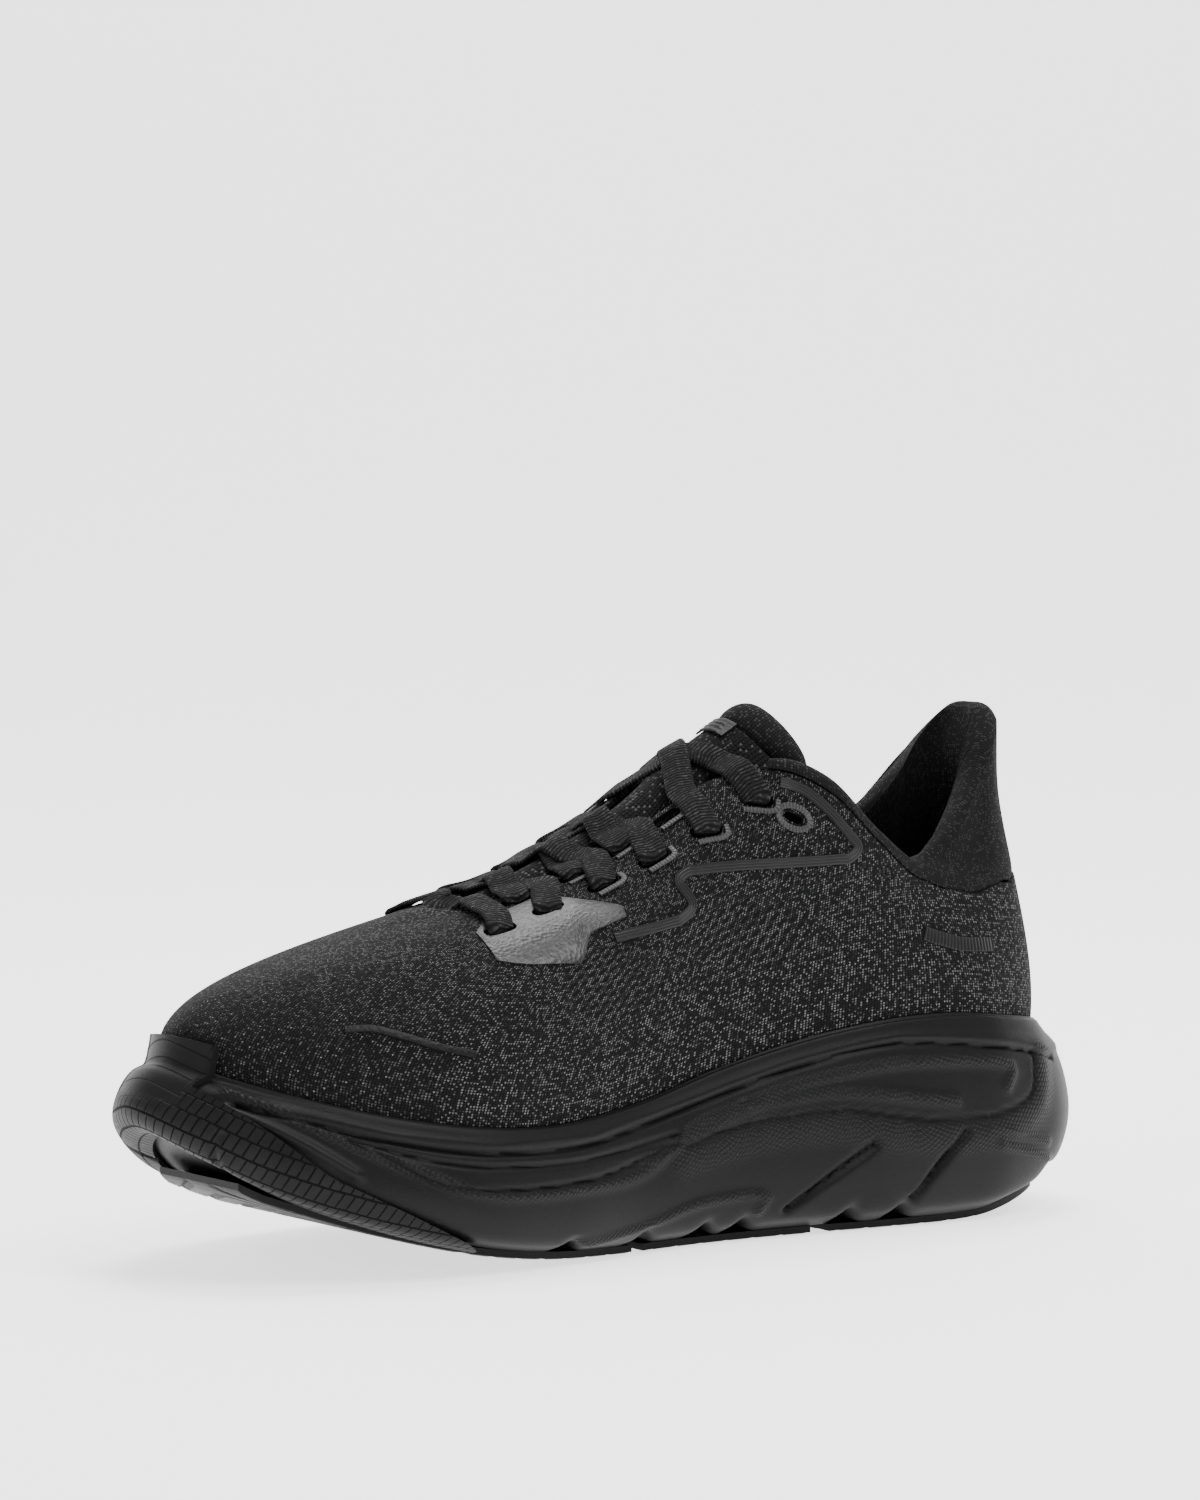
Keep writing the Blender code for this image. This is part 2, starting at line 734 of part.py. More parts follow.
def side_columns(start, end, side):
    t = columns(start, end)
    return t if side == MEDIAL else TURN - t


def make_backings(tape_look, cloth_look):
    """Tape behind the knit between the two rows of lace holes, and the gussets below it."""
    deep = KNIT + GAP
    for name, side in SIDES.items():
        places = [on_top(x, TAPE_LINE, side) for x in np.linspace(206, 116, 21)]
        low, high = -(deep + GAP + BACKING), -(deep + GAP)
        new_object(f"eyestay_tape_{name}", *surface_band(places, TAPE_WIDTH, low, high), tape_look)
        t = side_columns(8.5, 11.5, side)
        wall_layer(f"tongue_gusset_{name}", t, SHARES[:5], even(deep), even(deep + BACKING), cloth_look)


# ---------------------------------------------------------------- tongue


def surface_tree(grid, closed):
    faces = grid_faces(grid.shape[0], grid.shape[1], 0, closed)
    return BVHTree.FromPolygons([Vector(p) for p in grid.reshape(-1, 3)], faces)


def drop_on(tree, x, y):
    """Height and facing of the highest surface point above x, y, or None."""
    place, normal, _, _ = tree.ray_cast(Vector((x, y, 1000)), Vector((0, 0, -1)))
    if place is None:
        return None
    normal = np.array(normal)
    return place.z, normal * np.sign(normal[2])


def upper_tree():
    v = np.linspace(0, 1, 25)[:, None] + 0 * ROUND
    return surface_tree(upper(np.broadcast_to(ROUND, v.shape), v), True)


def tongue_grid(tree):
    """Outer face of the tongue, kept below the upper and the lace that runs under it."""
    rows = smooth_path(TONGUE_ROWS, 12)
    share = np.linspace(1, -1, 15)
    grid = []
    for x, z, half, drop, back in rows:
        line = np.stack([x - back * share**2, half * share, z - drop * share**2], -1)
        line = scaled(line)
        for _ in range(3):
            limit = line[:, 2].copy()
            for k, (px, py, _) in enumerate(line):
                hit = drop_on(tree, px, py)
                if hit:
                    limit[k] = min(limit[k], hit[0] - TONGUE_DEPTH / max(0.25, hit[1][2]))
            line[:, 2] = limit
            line[1:-1, 2] = (limit[:-2] + 2 * limit[1:-1] + limit[2:]) / 4
            line[:, 2] = np.minimum(line[:, 2], limit)
        grid.append(line)
    return np.array(grid)


def make_tongue(tree, knit_look, label_look, binding_look):
    grid = tongue_grid(tree)
    out = -grid_normals(grid)
    out *= np.sign(out[len(grid) // 2, grid.shape[1] // 2, 2])
    body = grid[:-1]
    thick = np.full(grid.shape[:2], TONGUE)
    thick[:, (0, -1)] = 1.6
    thick[:, (1, -2)] = 3.4
    thick[0] = np.minimum(thick[0], 2.0)
    inner = grid - out * thick[..., None]
    plate("tongue_body", body, inner[:-1], knit_look)
    first = grid[-1] + (grid[-2] - grid[-1]) * 0.85
    bead = [first, grid[-1], grid[-1] + (grid[-1] - grid[-2]) * 0.25]
    below = [row - out[-1] * thick[-1][:, None] for row in bead]
    plate("tongue_binding", np.array(bead), np.array(below), binding_look)
    cols = slice(5, 10)
    shares = np.array((0.35, 0.65, 0.95))[:, None, None]
    face = grid[-3, cols] * (1 - shares) + grid[-2, cols] * shares
    lift = out[-2, cols]
    plate("tongue_label", face + lift * (GAP + LABEL), face + lift * GAP, label_look)
    return grid


# ---------------------------------------------------------------- lace


class Route:
    """The lace's path: its middle line with the direction that its flat face looks along."""

    def __init__(self, upper_surface, tongue_surface):
        self.trees = (upper_surface, tongue_surface)
        self.points = []
        self.faces = []
        self.gathers = []

    def add(self, point, face, gather=0.0):
        """A point, the way the flat face looks there, and how far the lace is bunched together."""
        self.points.append(np.asarray(point, float))
        self.faces.append(np.asarray(face, float))
        self.gathers.append(gather)

    def over(self, x, y, lift):
        """A point on top of everything at x, y, and clear of what lies beside it."""
        hits = [hit for hit in (drop_on(tree, x, y) for tree in self.trees) if hit]
        z, out = max(hits, key=lambda hit: hit[0])
        out = out * (1, 0.5, 1)
        out /= np.linalg.norm(out)
        here = np.array((x, y, z))
        rise = 0.0
        for beside_x in (x - LACE_WIDTH / 2, x, x + LACE_WIDTH / 2):
            for beside_y in (y - 2, y, y + 2):
                for tree in self.trees:
                    hit = drop_on(tree, beside_x, beside_y)
                    if hit:
                        rise = max(rise, np.dot(np.array((beside_x, beside_y, hit[0])) - here, out))
        self.add(here + out * (LACE_OVER + lift + rise), out)

    def hole(self, hole, side, entering):
        """Straight through a lace hole, entering from above or coming up."""
        centre, _, across, out = hole_frame(*hole, side)
        across = across * side * np.sign(across[1])
        steps = [
            (centre + out * LACE_OVER, out + across, 0.4),
            (centre - out * KNIT / 2, across, 0.75),
            (centre - out * (LACE_DEPTH - 0.5), across, 1.0),
        ]
        for point, face, gather in steps if entering else steps[::-1]:
            self.add(point, face / np.linalg.norm(face), gather)

    def under(self, x, y, side):
        """A point flat against the inside of the eyestay."""
        centre, _, across, out = hole_frame(x, y, side)
        self.add(centre - out * LACE_DEPTH, across * side * np.sign(across[1]), 1.0)


def lace_half(route, side):
    """One half of the lace, from the middle of the lowest bar to its tucked end."""
    here, there = side, -side
    x_scale, y_scale = LENGTH / DESIGN[0], WIDTH / DESIGN[1]

    def bar(start, start_side, end, lift, middle):
        """Over the tongue from one hole to one on the other side."""
        (x0, y0), (x1, y1) = start, end
        stops = [((x0 + middle) / 2, 20, 0), (middle, 14.5, 0)]
        for share, y, rise in ((0.25, 7, 0.6), (0.5, 0, 1), (0.75, -7, 0.6), (0.92, -11.5, 0.2)):
            stops.append((middle * (1 - share) + x1 * share, y, rise))
        for x, y, rise in stops:
            route.over(x * x_scale, y * start_side * y_scale, lift * rise)

    def across_under(start, end, end_side):
        """Under the eyestay from a hole to the next outer one on the same side."""
        (x0, y0), (x1, y1) = start, end
        for share in (0.25, 0.5, 0.75):
            route.under(x0 + (x1 - x0) * share, y0 + (y1 - y0) * share, end_side)

    level = 0.0 if side == MEDIAL else LACE + LACE_ROOM
    route.over(201.5 * x_scale, 0, LACE_ROOM)
    for y in (4, 8, 15, 21):
        route.over(202.5 * x_scale, y * here * y_scale, LACE_ROOM)
    route.hole(OUTER_HOLES[0], here, True)
    across_under(OUTER_HOLES[0], OUTER_HOLES[1], here)
    for k in range(3):
        start, end = OUTER_HOLES[k + 1], INNER_HOLES[k]
        middle = (INNER_HOLES[k][0] + INNER_HOLES[k + 1][0]) / 2
        route.hole(start, here, False)
        bar(start, here, end, level, middle)
        route.hole(end, there, True)
        across_under(end, OUTER_HOLES[k + 2], there)
        here, there = there, here
    start, end = OUTER_HOLES[4], OUTER_HOLES[5]
    route.hole(start, here, False)
    bar(start, here, end, level, 136.5)
    route.over(122 * x_scale, -21 * here * y_scale, 0.0)
    route.hole(end, there, True)
    t, v = on_top(*end, there)
    for drop in (0.08, 0.16, 0.24, 0.32):
        route.add(layer(t, v - drop, -LACE_DEPTH - 4 * drop), facing(t, v - drop), 1.0)


def lace_skin(points, faces, gathers, room):
    """Skin of the flat lace along its route, and the frame at its last point."""
    count_before = np.linalg.norm(np.diff(points, axis=0), axis=1)
    path = smooth_path(points, LACE_STEP)
    place = np.linspace(0, 1, len(path))
    known = np.concatenate([[0], np.cumsum(np.maximum(1, np.round(count_before / LACE_STEP)))])
    known /= known[-1]
    looks = np.stack([np.interp(place, known, np.array(faces)[:, k]) for k in range(3)], 1)
    gather = np.interp(place, known, gathers)
    direction = frames(path)
    width = np.cross(looks[0], direction[0])
    across = []
    for way, look in zip(direction, looks, strict=True):
        width = width - way * np.dot(width, way)
        width /= np.linalg.norm(width)
        flat = np.cross(look, way)
        strength = np.linalg.norm(flat)
        if strength > 0.6:
            flat *= np.sign(np.dot(flat, width)) / strength
            width = width + flat * 0.6
            width /= np.linalg.norm(width)
        across.append(width)
    across = np.array(across)
    out = np.cross(across, direction)
    wide = LACE_WIDTH + (BUNCH_WIDTH - LACE_WIDTH) * gather + 2 * room
    half = ((LACE + (BUNCH - LACE) * gather) / 2 + room)[:, None]
    return strip(path, across, out, wide, -half, half), path[-1], direction[-1]


def make_lace(tree, grid, lace_look, tip_look):
    tongue = surface_tree(grid, False)
    halves = []
    for side in (MEDIAL, LATERAL):
        route = Route(tree, tongue)
        lace_half(route, side)
        halves.append(route)
    points = halves[0].points[:0:-1] + halves[1].points
    faces = halves[0].faces[:0:-1] + halves[1].faces
    gathers = halves[0].gathers[:0:-1] + halves[1].gathers
    room = hidden(new_object("lace_room", *lace_skin(points, faces, gathers, GAP)[0], lace_look))
    skin, end, direction = lace_skin(points, faces, gathers, 0)
    new_object("lace", *skin, lace_look)
    start = skin[0][:4].mean(0)
    back = start - skin[0][4:8].mean(0)
    tips = ((start, back), (end, direction))
    for name, (place, way) in zip(("lace_tip_lateral", "lace_tip_medial"), tips, strict=True):
        way = Vector(way).normalized()
        middle = Vector(place) + way * (GAP + TIP_LENGTH / 2)
        bpy.ops.mesh.primitive_cylinder_add(
            vertices=12,
            radius=TIP_RADIUS * MM,
            depth=TIP_LENGTH * MM,
            location=middle * MM,
            rotation=way.to_track_quat("Z", "Y").to_euler(),
        )
        tip = bpy.context.active_object
        tip.name = name
        tip.data.materials.append(tip_look)
    return room


# ---------------------------------------------------------------- films, trims and marks

FILM_LINE = (
    (113.0, 125.0),
    (107.0, 123.0),
    (99.3, 117.0),
    (90.5, 106.5),
    (93.5, 103.8),
    (112.4, 103.2),
    (133.4, 103.0),
    (147.4, 102.0),
    (150.7, 99.5),
    (147.6, 93.6),
    (152.1, 89.8),
    (175.0, 86.0),
)
VAMP_STROKE = ((258, 66), (251, 66), (244, 64), (235, 61), (225, 58.5))
HEEL_BAR = ((70, 82), (58, 78.5), (45, 77.5))
PATCH_ROWS = (
    (211, 81.5, 88.0),
    (205, 80.5, 91.0),
    (199, 80.2, 92.6),
    (193, 80.2, 94.3),
    (187, 80.5, 96.0),
    (182, 87.0, 96.0),
    (176, 89.2, 95.2),
    (169.5, 91.2, 94.0),
)


def side_path(points, side, spacing):
    """(t, v) places along a smooth line through (x, z) points on one side of the shoe."""
    return [on_side(x, z, side) for x, z in smooth_path(points, spacing)]


def make_films(film_look, print_look, patch_look, mark_look, cutter):
    room = [2 * reach + RING_WIDTH + 2 * GAP for reach in RING_REACH]
    rings = [hole_cutter(*SPARE_HOLE, side, *room) for side in SIDES.values()]
    ring_room = hidden(group("ring_room", rings, film_look))
    for name, side in SIDES.items():
        line = surface_band(side_path(FILM_LINE, side, 4.5), 3.0)
        cut(new_object(f"collar_film_{name}", *line, film_look), ring_room)
        new_object(f"toe_print_{name}", *surface_band(side_path(VAMP_STROKE, side, 5), 2.0), print_look)
        new_object(f"heel_mark_{name}", *surface_band(side_path(HEEL_BAR, side, 5), 4.0), mark_look)
        places = []
        for x, low, high in PATCH_ROWS:
            heights = np.linspace(low, high, 5)
            places.append([on_side(x, z, side) for z in heights])
        t, v = np.moveaxis(np.array(places), -1, 0)
        low = layer(t, v, FILM_GAP + 0 * t)
        patch = plate(f"lace_patch_{name}", layer(t, v, FILM_GAP + FILM + 0 * t), low, patch_look)
        cut(patch, cutter)


def make_trims(look):
    """Grey trims on the outer edge of the lace holes, and the ring round the spare hole."""
    for name, side in SIDES.items():
        for number, (x, y) in enumerate(OUTER_HOLES[2:] + INNER_HOLES[1:], 1):
            centre, lane, across, out = hole_frame(x, y, side)
            across = across * (side * np.sign(across[1]) if abs(across[1]) > 0 else 1)
            long, wide = SLOT_LONG / 2 + 1.2, SLOT_WIDE / 2 + 1.2
            shape = (
                (long, -0.2),
                (long - 0.4, wide * 0.7),
                (long - 2.4, wide),
                (0, wide),
                (2.2 - long, wide),
            )
            line = np.array([centre - lane * a * side + across * b for a, b in shape])
            way = frames(line)
            skin = strip(line, np.cross(out, way), out, 1.3, FILM_GAP, FILM_GAP + FILM)
            new_object(f"eyelet_trim_{name}_{number}", *skin, look)
        centre, lane, across, out = hole_frame(*SPARE_HOLE, side)
        angles = np.linspace(0, 2 * math.pi, 16, endpoint=False)
        long, wide = RING_REACH
        line = np.array([centre + lane * long * math.cos(a) + across * wide * math.sin(a) for a in angles])
        way = np.roll(line, -1, 0) - np.roll(line, 1, 0)
        way /= np.linalg.norm(way, axis=1, keepdims=True)
        ring_skin = strip(line, np.cross(out, way), out, RING_WIDTH, FILM_GAP, FILM_GAP + FILM, closed=True)
        new_object(f"spare_eyelet_{name}", *ring_skin, look)


# ---------------------------------------------------------------- the shoe


# The turning pieces and the place of the axis across the shoe that each turns on, as (x, z)
TONGUE_AXIS = (222, 81.5)
SOCKLINER_AXIS = (287, 47.0)


def hang(names, root, axis, x_z):
    """Puts moving pieces under an empty that stands on their joint's axis."""
    x, z = x_z
    place = Vector((x * LENGTH / DESIGN[0], 0, z * HEIGHT / DESIGN[2])) * MM
    pivot = bpy.data.objects.new(axis, None)
    bpy.context.collection.objects.link(pivot)
    pivot.parent = root
    pivot.location = place
    for name in names:
        piece = bpy.data.objects[name]
        piece.parent = pivot
        piece.location = -place


def stand_on_floor():
    """Puts the middle of the shoe's footprint at the origin."""
    bpy.context.view_layer.update()
    parts = [thing for thing in bpy.data.objects if thing.type == "MESH"]
    shown = [thing for thing in parts if not thing.hide_render]
    corners = [thing.matrix_world @ Vector(c) for thing in shown for c in thing.bound_box]
    low = Vector([min(c[k] for c in corners) for k in range(3)])
    high = Vector([max(c[k] for c in corners) for k in range(3)])
    root = bpy.data.objects.new("shoe", None)
    bpy.context.collection.objects.link(root)
    for thing in parts:
        thing.parent = root
    hang(("tongue_body", "tongue_binding", "tongue_label"), root, "tongue_axis", TONGUE_AXIS)
    hang(("sockliner",), root, "sockliner_axis", SOCKLINER_AXIS)
    root.location = (-(low.x + high.x) / 2, -(low.y + high.y) / 2, -low.z)


def main():
    clear_scene()
    foam = material("midsole foam", (0.022, 0.022, 0.023), 0.62)
    rubber = material("black rubber", (0.014, 0.014, 0.014), 0.5)
    knit_look = material("knit", (0.02, 0.02, 0.021), 0.85)
    lining = material("collar mesh", (0.018, 0.018, 0.019), 0.9)
    board = material("strobel board", (0.25, 0.25, 0.24), 0.9)
    insole = material("sockliner cloth", (0.03, 0.03, 0.032), 0.9)
    stiff = material("counter plastic", (0.3, 0.3, 0.3), 0.6)
    padding = material("collar foam", (0.35, 0.34, 0.3), 0.95)
    film = material("gloss film", (0.05, 0.05, 0.052), 0.35)
    silver = material("reflective film", (0.22, 0.22, 0.22), 0.35, 0.5)
    woven = material("lace", (0.016, 0.016, 0.016), 0.8)
    clear = material("lace tip", (0.02, 0.02, 0.02), 0.3)

    make_midsole(foam)
    make_toe_bumper(rubber)
    make_outsole(rubber)
    make_board(board)
    make_sockliner(insole)
    cutter = make_hole_cutter(film)
    make_knit(knit_look, cutter)
    make_stiffeners(stiff, stiff)
    make_collar(lining, padding)
    make_backings(film, lining)
    tree = upper_tree()
    grid = make_tongue(tree, knit_look, film, lining)
    room = make_lace(tree, grid, woven, clear)
    make_films(film, film, silver, film, cutter)
    make_trims(silver)
    for thing in list(bpy.data.objects):
        if thing.name.startswith("lace_patch"):
            cut(thing, room)
    stand_on_floor()


main()
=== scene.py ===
"""Looks of a cushioned road running shoe: its sculpted foam, treaded rubber, speckled knit, padded
mesh collar, tongue, ribbed lace and stuck-on films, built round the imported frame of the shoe.

The shoe is described in millimetres at 28 stations that run from the middle of the heel (0) along
the inner side to the middle of the toe (14) and back along the outer side.
"""

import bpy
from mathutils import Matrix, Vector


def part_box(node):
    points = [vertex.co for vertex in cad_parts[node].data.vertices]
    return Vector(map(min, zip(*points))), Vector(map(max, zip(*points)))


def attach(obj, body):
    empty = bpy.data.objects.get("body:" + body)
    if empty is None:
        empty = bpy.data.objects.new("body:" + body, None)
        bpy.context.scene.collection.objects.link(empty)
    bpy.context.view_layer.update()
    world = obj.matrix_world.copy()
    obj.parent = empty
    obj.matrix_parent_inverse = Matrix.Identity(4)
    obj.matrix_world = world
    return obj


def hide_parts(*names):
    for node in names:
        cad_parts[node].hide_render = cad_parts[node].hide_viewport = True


bl_info = {
    "name": "Cushioned running shoe",
    "version": (1, 0, 0),
    "blender": (4, 5, 0),
    "location": "View3D > Sidebar > Shoe",
    "description": "Builds the visible pieces and materials of a cushioned running shoe",
    "category": "Object",
}

import math

import bmesh
import bpy
import numpy as np
from bpy.props import FloatProperty, FloatVectorProperty, PointerProperty
from mathutils import Vector
from mathutils.bvhtree import BVHTree

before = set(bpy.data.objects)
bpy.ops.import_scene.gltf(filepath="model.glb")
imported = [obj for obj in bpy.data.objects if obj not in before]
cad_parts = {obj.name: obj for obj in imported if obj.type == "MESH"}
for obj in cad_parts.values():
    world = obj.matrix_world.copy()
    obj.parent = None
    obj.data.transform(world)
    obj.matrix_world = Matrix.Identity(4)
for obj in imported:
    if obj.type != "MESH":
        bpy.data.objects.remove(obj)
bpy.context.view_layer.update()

MM = 0.001
GAP = 0.3
LENGTH = 300.0
WIDTH = 115.0
HEIGHT = 144.0
DESIGN = (302.0, 115.0, 144.0)  # the overall sizes that the tables below are written at
SCALE = np.array([LENGTH, WIDTH, HEIGHT]) / np.array(DESIGN)

RUBBER = 2.2
BUMPER = 1.5
TREAD_INSET = 9.0
BOARD = 1.2
INSOLE = 4.5
INSOLE_ROOM = 2.6
TUCK = 3.2  # how far the upper turns in under the foot
STAND_IN = 0.8  # from the foam's inner wall to the upper
KNIT = 1.6
BACKING = 0.6
COUNTER = 1.2
SKIN = 1.2
COLLAR_PAD = 5.0
PAD_DEPTH = KNIT + GAP + COUNTER + GAP
FILM = 0.5
FILM_GAP = 0.1
TONGUE = 5.0
LACE_WIDTH = 7.6
LACE = 1.2
LACE_ROOM = 0.4
BUNCH_WIDTH = 2.4
BUNCH = 1.9
LACE_OVER = 1.1
BRAID_WIDTH = 8.2  # the lace that shows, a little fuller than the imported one
BRAID = 1.3
LACE_STEP = 3.6
TIP_LENGTH = 12.0
CUTTER_REACH = (-6, 4)  # how far a lace hole's cutter goes in and out
RING_REACH = (5.0, 3.1)  # half sizes of the ring round the spare hole
RING_WIDTH = 1.7
SLOT_LONG = 9.8
SLOT_WIDE = 4.2
LACE_DEPTH = KNIT + 2 * GAP + BACKING + LACE_ROOM + BUNCH_WIDTH / 2
TONGUE_DEPTH = LACE_DEPTH + BUNCH_WIDTH / 2 + LACE_ROOM
TURN = 28
TOE = TURN // 2

# One row for each station: x, half width inside, half width outside, rim height inside and
# outside, height of the tread, how far the upper stands in from the outline, footbed height.
SOLE = (
    (0, 0, 0, 52, 52, 22, 15, 38),
    (5, 21, 22, 53, 53, 16, 12, 37.5),
    (20, 37.5, 38, 54.5, 54, 7.5, 9, 37),
    (42, 45, 45.7, 57, 56.5, 1.5, 6.5, 36.5),
    (62, 46, 47.2, 58.7, 58, 0, 6, 36),
    (85, 45, 48.8, 58, 56.5, 0, 6, 35.5),
    (110, 42.5, 51, 54.5, 52.5, 0, 6, 34.5),
    (138, 41.8, 55.5, 48.5, 47, 0, 6, 33),
    (168, 45, 59.5, 41, 40.5, 0, 6, 30.5),
    (198, 51.5, 61, 38, 38, 1.5, 6, 28.5),
    (226, 54, 58, 39.5, 40, 5.5, 6.5, 29.5),
    (254, 49, 50, 43.8, 44.5, 12.5, 7.5, 33),
    (278, 37.5, 37.5, 49.5, 50, 21, 8.5, 39),
    (295, 21, 20.5, 54.5, 54.5, 31, 9.5, 44.5),
    (302, 1, 1, 57, 57, 37, 10.5, 47),
)

# One row for each station of the inner side, mirrored for the outer side: the top edge of the
# upper, the way the wall leaves the sole and the way it comes up to the edge.
EDGE = (
    ((20.5, 0, 138), (-2, 0, 28), (8, 0, -20)),
    ((23, 10.5, 137), (-2, 1, 28), (7, 2, -20)),
    ((33, 20.5, 128), (-1, 1.5, 26), (4, 4, -20)),
    ((49, 28, 109), (0, 1.5, 20), (1, 3, -18)),
    ((65, 32, 99), (0, 1.5, 16), (0, 3.5, -14)),
    ((81, 33, 107.5), (0, 1.5, 18), (1, 2.5, -18)),
    ((97, 31, 122.5), (0, 2, 22), (4, 3, -24)),
    ((113, 26, 129.5), (-1, 3, 26), (7, 6, -22)),
    ((128, 15, 126.5), (-3, 4, 32), (10, 19, -13)),
    ((146, 12, 116.5), (-4, 3.5, 32), (10, 21, -12)),
    ((165, 11, 106), (-4, 3, 30), (12, 22, -10)),
    ((183, 10, 99), (-1, 2.5, 27), (14, 21, -8.5)),
    ((197, 8, 95.5), (2, 2.5, 23), (26, 19, -9)),
    ((205, 4.5, 94.3), (3, 1.5, 20), (42, 11, -12)),
    ((207.5, 0, 94.5), (3.5, 0, 18), (53, 0, -16)),
)
SEAM = (0.50, 0.49, 0.50, 0.66, 0.93, 0.985, 0.985, 0.985)
PADDING = (0.8, 0.85, 1.0, 1.0, 0.95, 0.85, 0.6, 0.25)
COLLAR_END = 7.15

# Tongue: x of its middle line, height there, half width, drop at its sides, set-back of its sides
TONGUE_ROWS = (
    (224, 83.5, 22, 8, 0),
    (209, 90, 25, 12, 0),
    (194, 97, 28, 15, 1),
    (177, 104, 29, 17, 2),
    (160, 112, 29, 18, 3),
    (145, 120.5, 29, 20, 4),
    (132, 129.5, 24, 18, 6),
    (121, 136.5, 21, 17, 8),
    (112, 141.5, 19.5, 16.5, 10),
    (105, 145, 18, 16, 11),
)
OUTER_HOLES = ((204.5, 26), (188.4, 25), (170.5, 25), (154.5, 26), (137.5, 27), (120.5, 27))
INNER_HOLES = ((192, 15.4), (173.5, 15.8), (158.7, 16.3), (144.3, 17.3))
SPARE_HOLE = (110.5, 30.6)
SPARE_SLOT = (6.0, 2.6)

# Lines sculpted in the foam, as (x, z): thin cuts, soft ridges with a fine grain, and deep cuts
CUTS = (
    ((261, 38.5), (236, 31.5), (215, 29), (187, 28.6), (155, 32.4)),
    ((260, 37.7), (237, 26), (215, 23), (187, 23.4), (168, 27), (153.6, 30.4)),
)
RIDGES = (
    ((285, 50.3), (250, 32), (222, 22.2), (187, 21.4), (168, 23.7), (150, 34), (132, 38.5)),
    ((132, 38.5), (115, 42.6), (83, 46.8), (48, 45.3), (42, 42), (45, 38)),
    ((168, 26.3), (150, 31.5), (132, 36.9), (115.6, 39.1), (99.5, 39.7), (63.6, 35.3)),
    ((196, 4.3), (168, 8.6), (150.7, 12.6), (133, 13.8), (126, 12.4), (128.5, 8.2)),
    ((52, 27.5), (40, 24.5), (28, 21)),
    ((48, 22), (38, 19.5), (27, 16)),
)
BAND = (
    (154, 25.5), (133, 29.5), (116, 31), (100, 31), (84, 27.5), (60, 25),
    (42, 27), (31, 33), (28, 45),
)
BAND_EDGE = (
    (154, 28.8), (132.6, 33.2), (116, 34.2), (100, 34.8), (84, 32.2), (67, 29.9),
    (49, 30.6), (36.4, 34), (33, 39), (32, 47),
)
DEEP_CUTS = (((91, 25.2), (105, 16.9), (118.5, 8.3)), ((60.5, 26.7), (70, 17.6), (77.4, 8)))
TOE_BAR = ((287, 46.5), (274, 39), (260.5, 29.6))
RIM_CREASE = (
    (285, 47.5), (273, 44), (249, 37.3), (221, 32.9), (186, 32.5), (149, 39.4),
    (114.5, 47.4), (82, 52.2), (43.6, 48.7), (22, 44),
)
SCALLOPS = (194, 166, 144, 131, 96, 79, 24)
SCALLOP = 3.2  # how high the lower edge of the foam rises at each of them

# What the toe rubber leaves free beside its middle flap, as (x, z)
BUMPER_EDGE = (
    (180, -20), (215, -2), (226.8, 7.3), (269, 29), (285.7, 44.4),
    (297, 54), (297, 100), (180, 100),
)
BUMPER_FLAP = 17.0

FILM_LINE = (
    (113.0, 125.0),
    (107.0, 123.0),
    (99.3, 117.0),
    (90.5, 106.5),
    (93.5, 103.8),
    (112.4, 103.2),
    (133.4, 103.0),
    (147.4, 102.0),
    (150.7, 99.5),
    (147.6, 93.6),
    (152.1, 89.8),
    (175.0, 86.0),
)
VAMP_STROKE = ((258, 66), (251, 66), (244, 64), (235, 61), (225, 58.5))
HEEL_BAR = ((70, 82), (58, 78.5), (45, 77.5))
PATCH_ROWS = (
    (211, 81.5, 88.0),
    (205, 80.5, 91.0),
    (199, 80.2, 92.6),
    (193, 80.2, 94.3),
    (187, 80.5, 96.0),
    (182, 87.0, 96.0),
    (176, 89.2, 95.2),
    (169.5, 91.2, 94.0),
)
# Middles of the breathing zones of the knit, as (x, z), with their reach along x and z
VENTS = (((178, 74), (20, 13)), ((128, 84), (26, 13)))

PADS = {
    "outsole_toe": (228, 283, -0.96, 0.96),
    "outsole_ball_medial": (168, 226, 0.28, 0.98),
    "outsole_ball_lateral": (160, 226, -0.98, -0.28),
    "outsole_ball_center": (172, 226, -0.24, 0.24),
    "outsole_arch_medial": (106, 164, 0.4, 0.98),
    "outsole_arch_lateral": (98, 156, -0.98, -0.4),
    "outsole_heel_medial": (24, 100, 0.3, 0.97),
    "outsole_heel_lateral": (20, 94, -0.97, -0.3),
    "outsole_heel_center": (22, 62, -0.24, 0.24),
}
LATERAL = -1
MEDIAL = 1
SIDES = {"medial": MEDIAL, "lateral": LATERAL}

# ---------------------------------------------------------------- curves and surfaces


def ring(inner, outer):
    return np.array(list(inner) + list(outer[-2:0:-1]), float)


def cubic(before, here, ahead, beyond, f):
    leave, arrive = (ahead - before) / 2, (beyond - here) / 2
    return (
        (2 * f**3 - 3 * f**2 + 1) * here
        + (f**3 - 2 * f**2 + f) * leave
        + (3 * f**2 - 2 * f**3) * ahead
        + (f**3 - f**2) * arrive
    )


def along(control, t):
    """Smooth closed curve through the control rows, at station parameters t."""
    t = np.asarray(t, float)
    k = np.floor(t).astype(int)
    f = (t - k)[..., None]
    return cubic(*(control[(k + step) % TURN] for step in (-1, 0, 1, 2)), f)


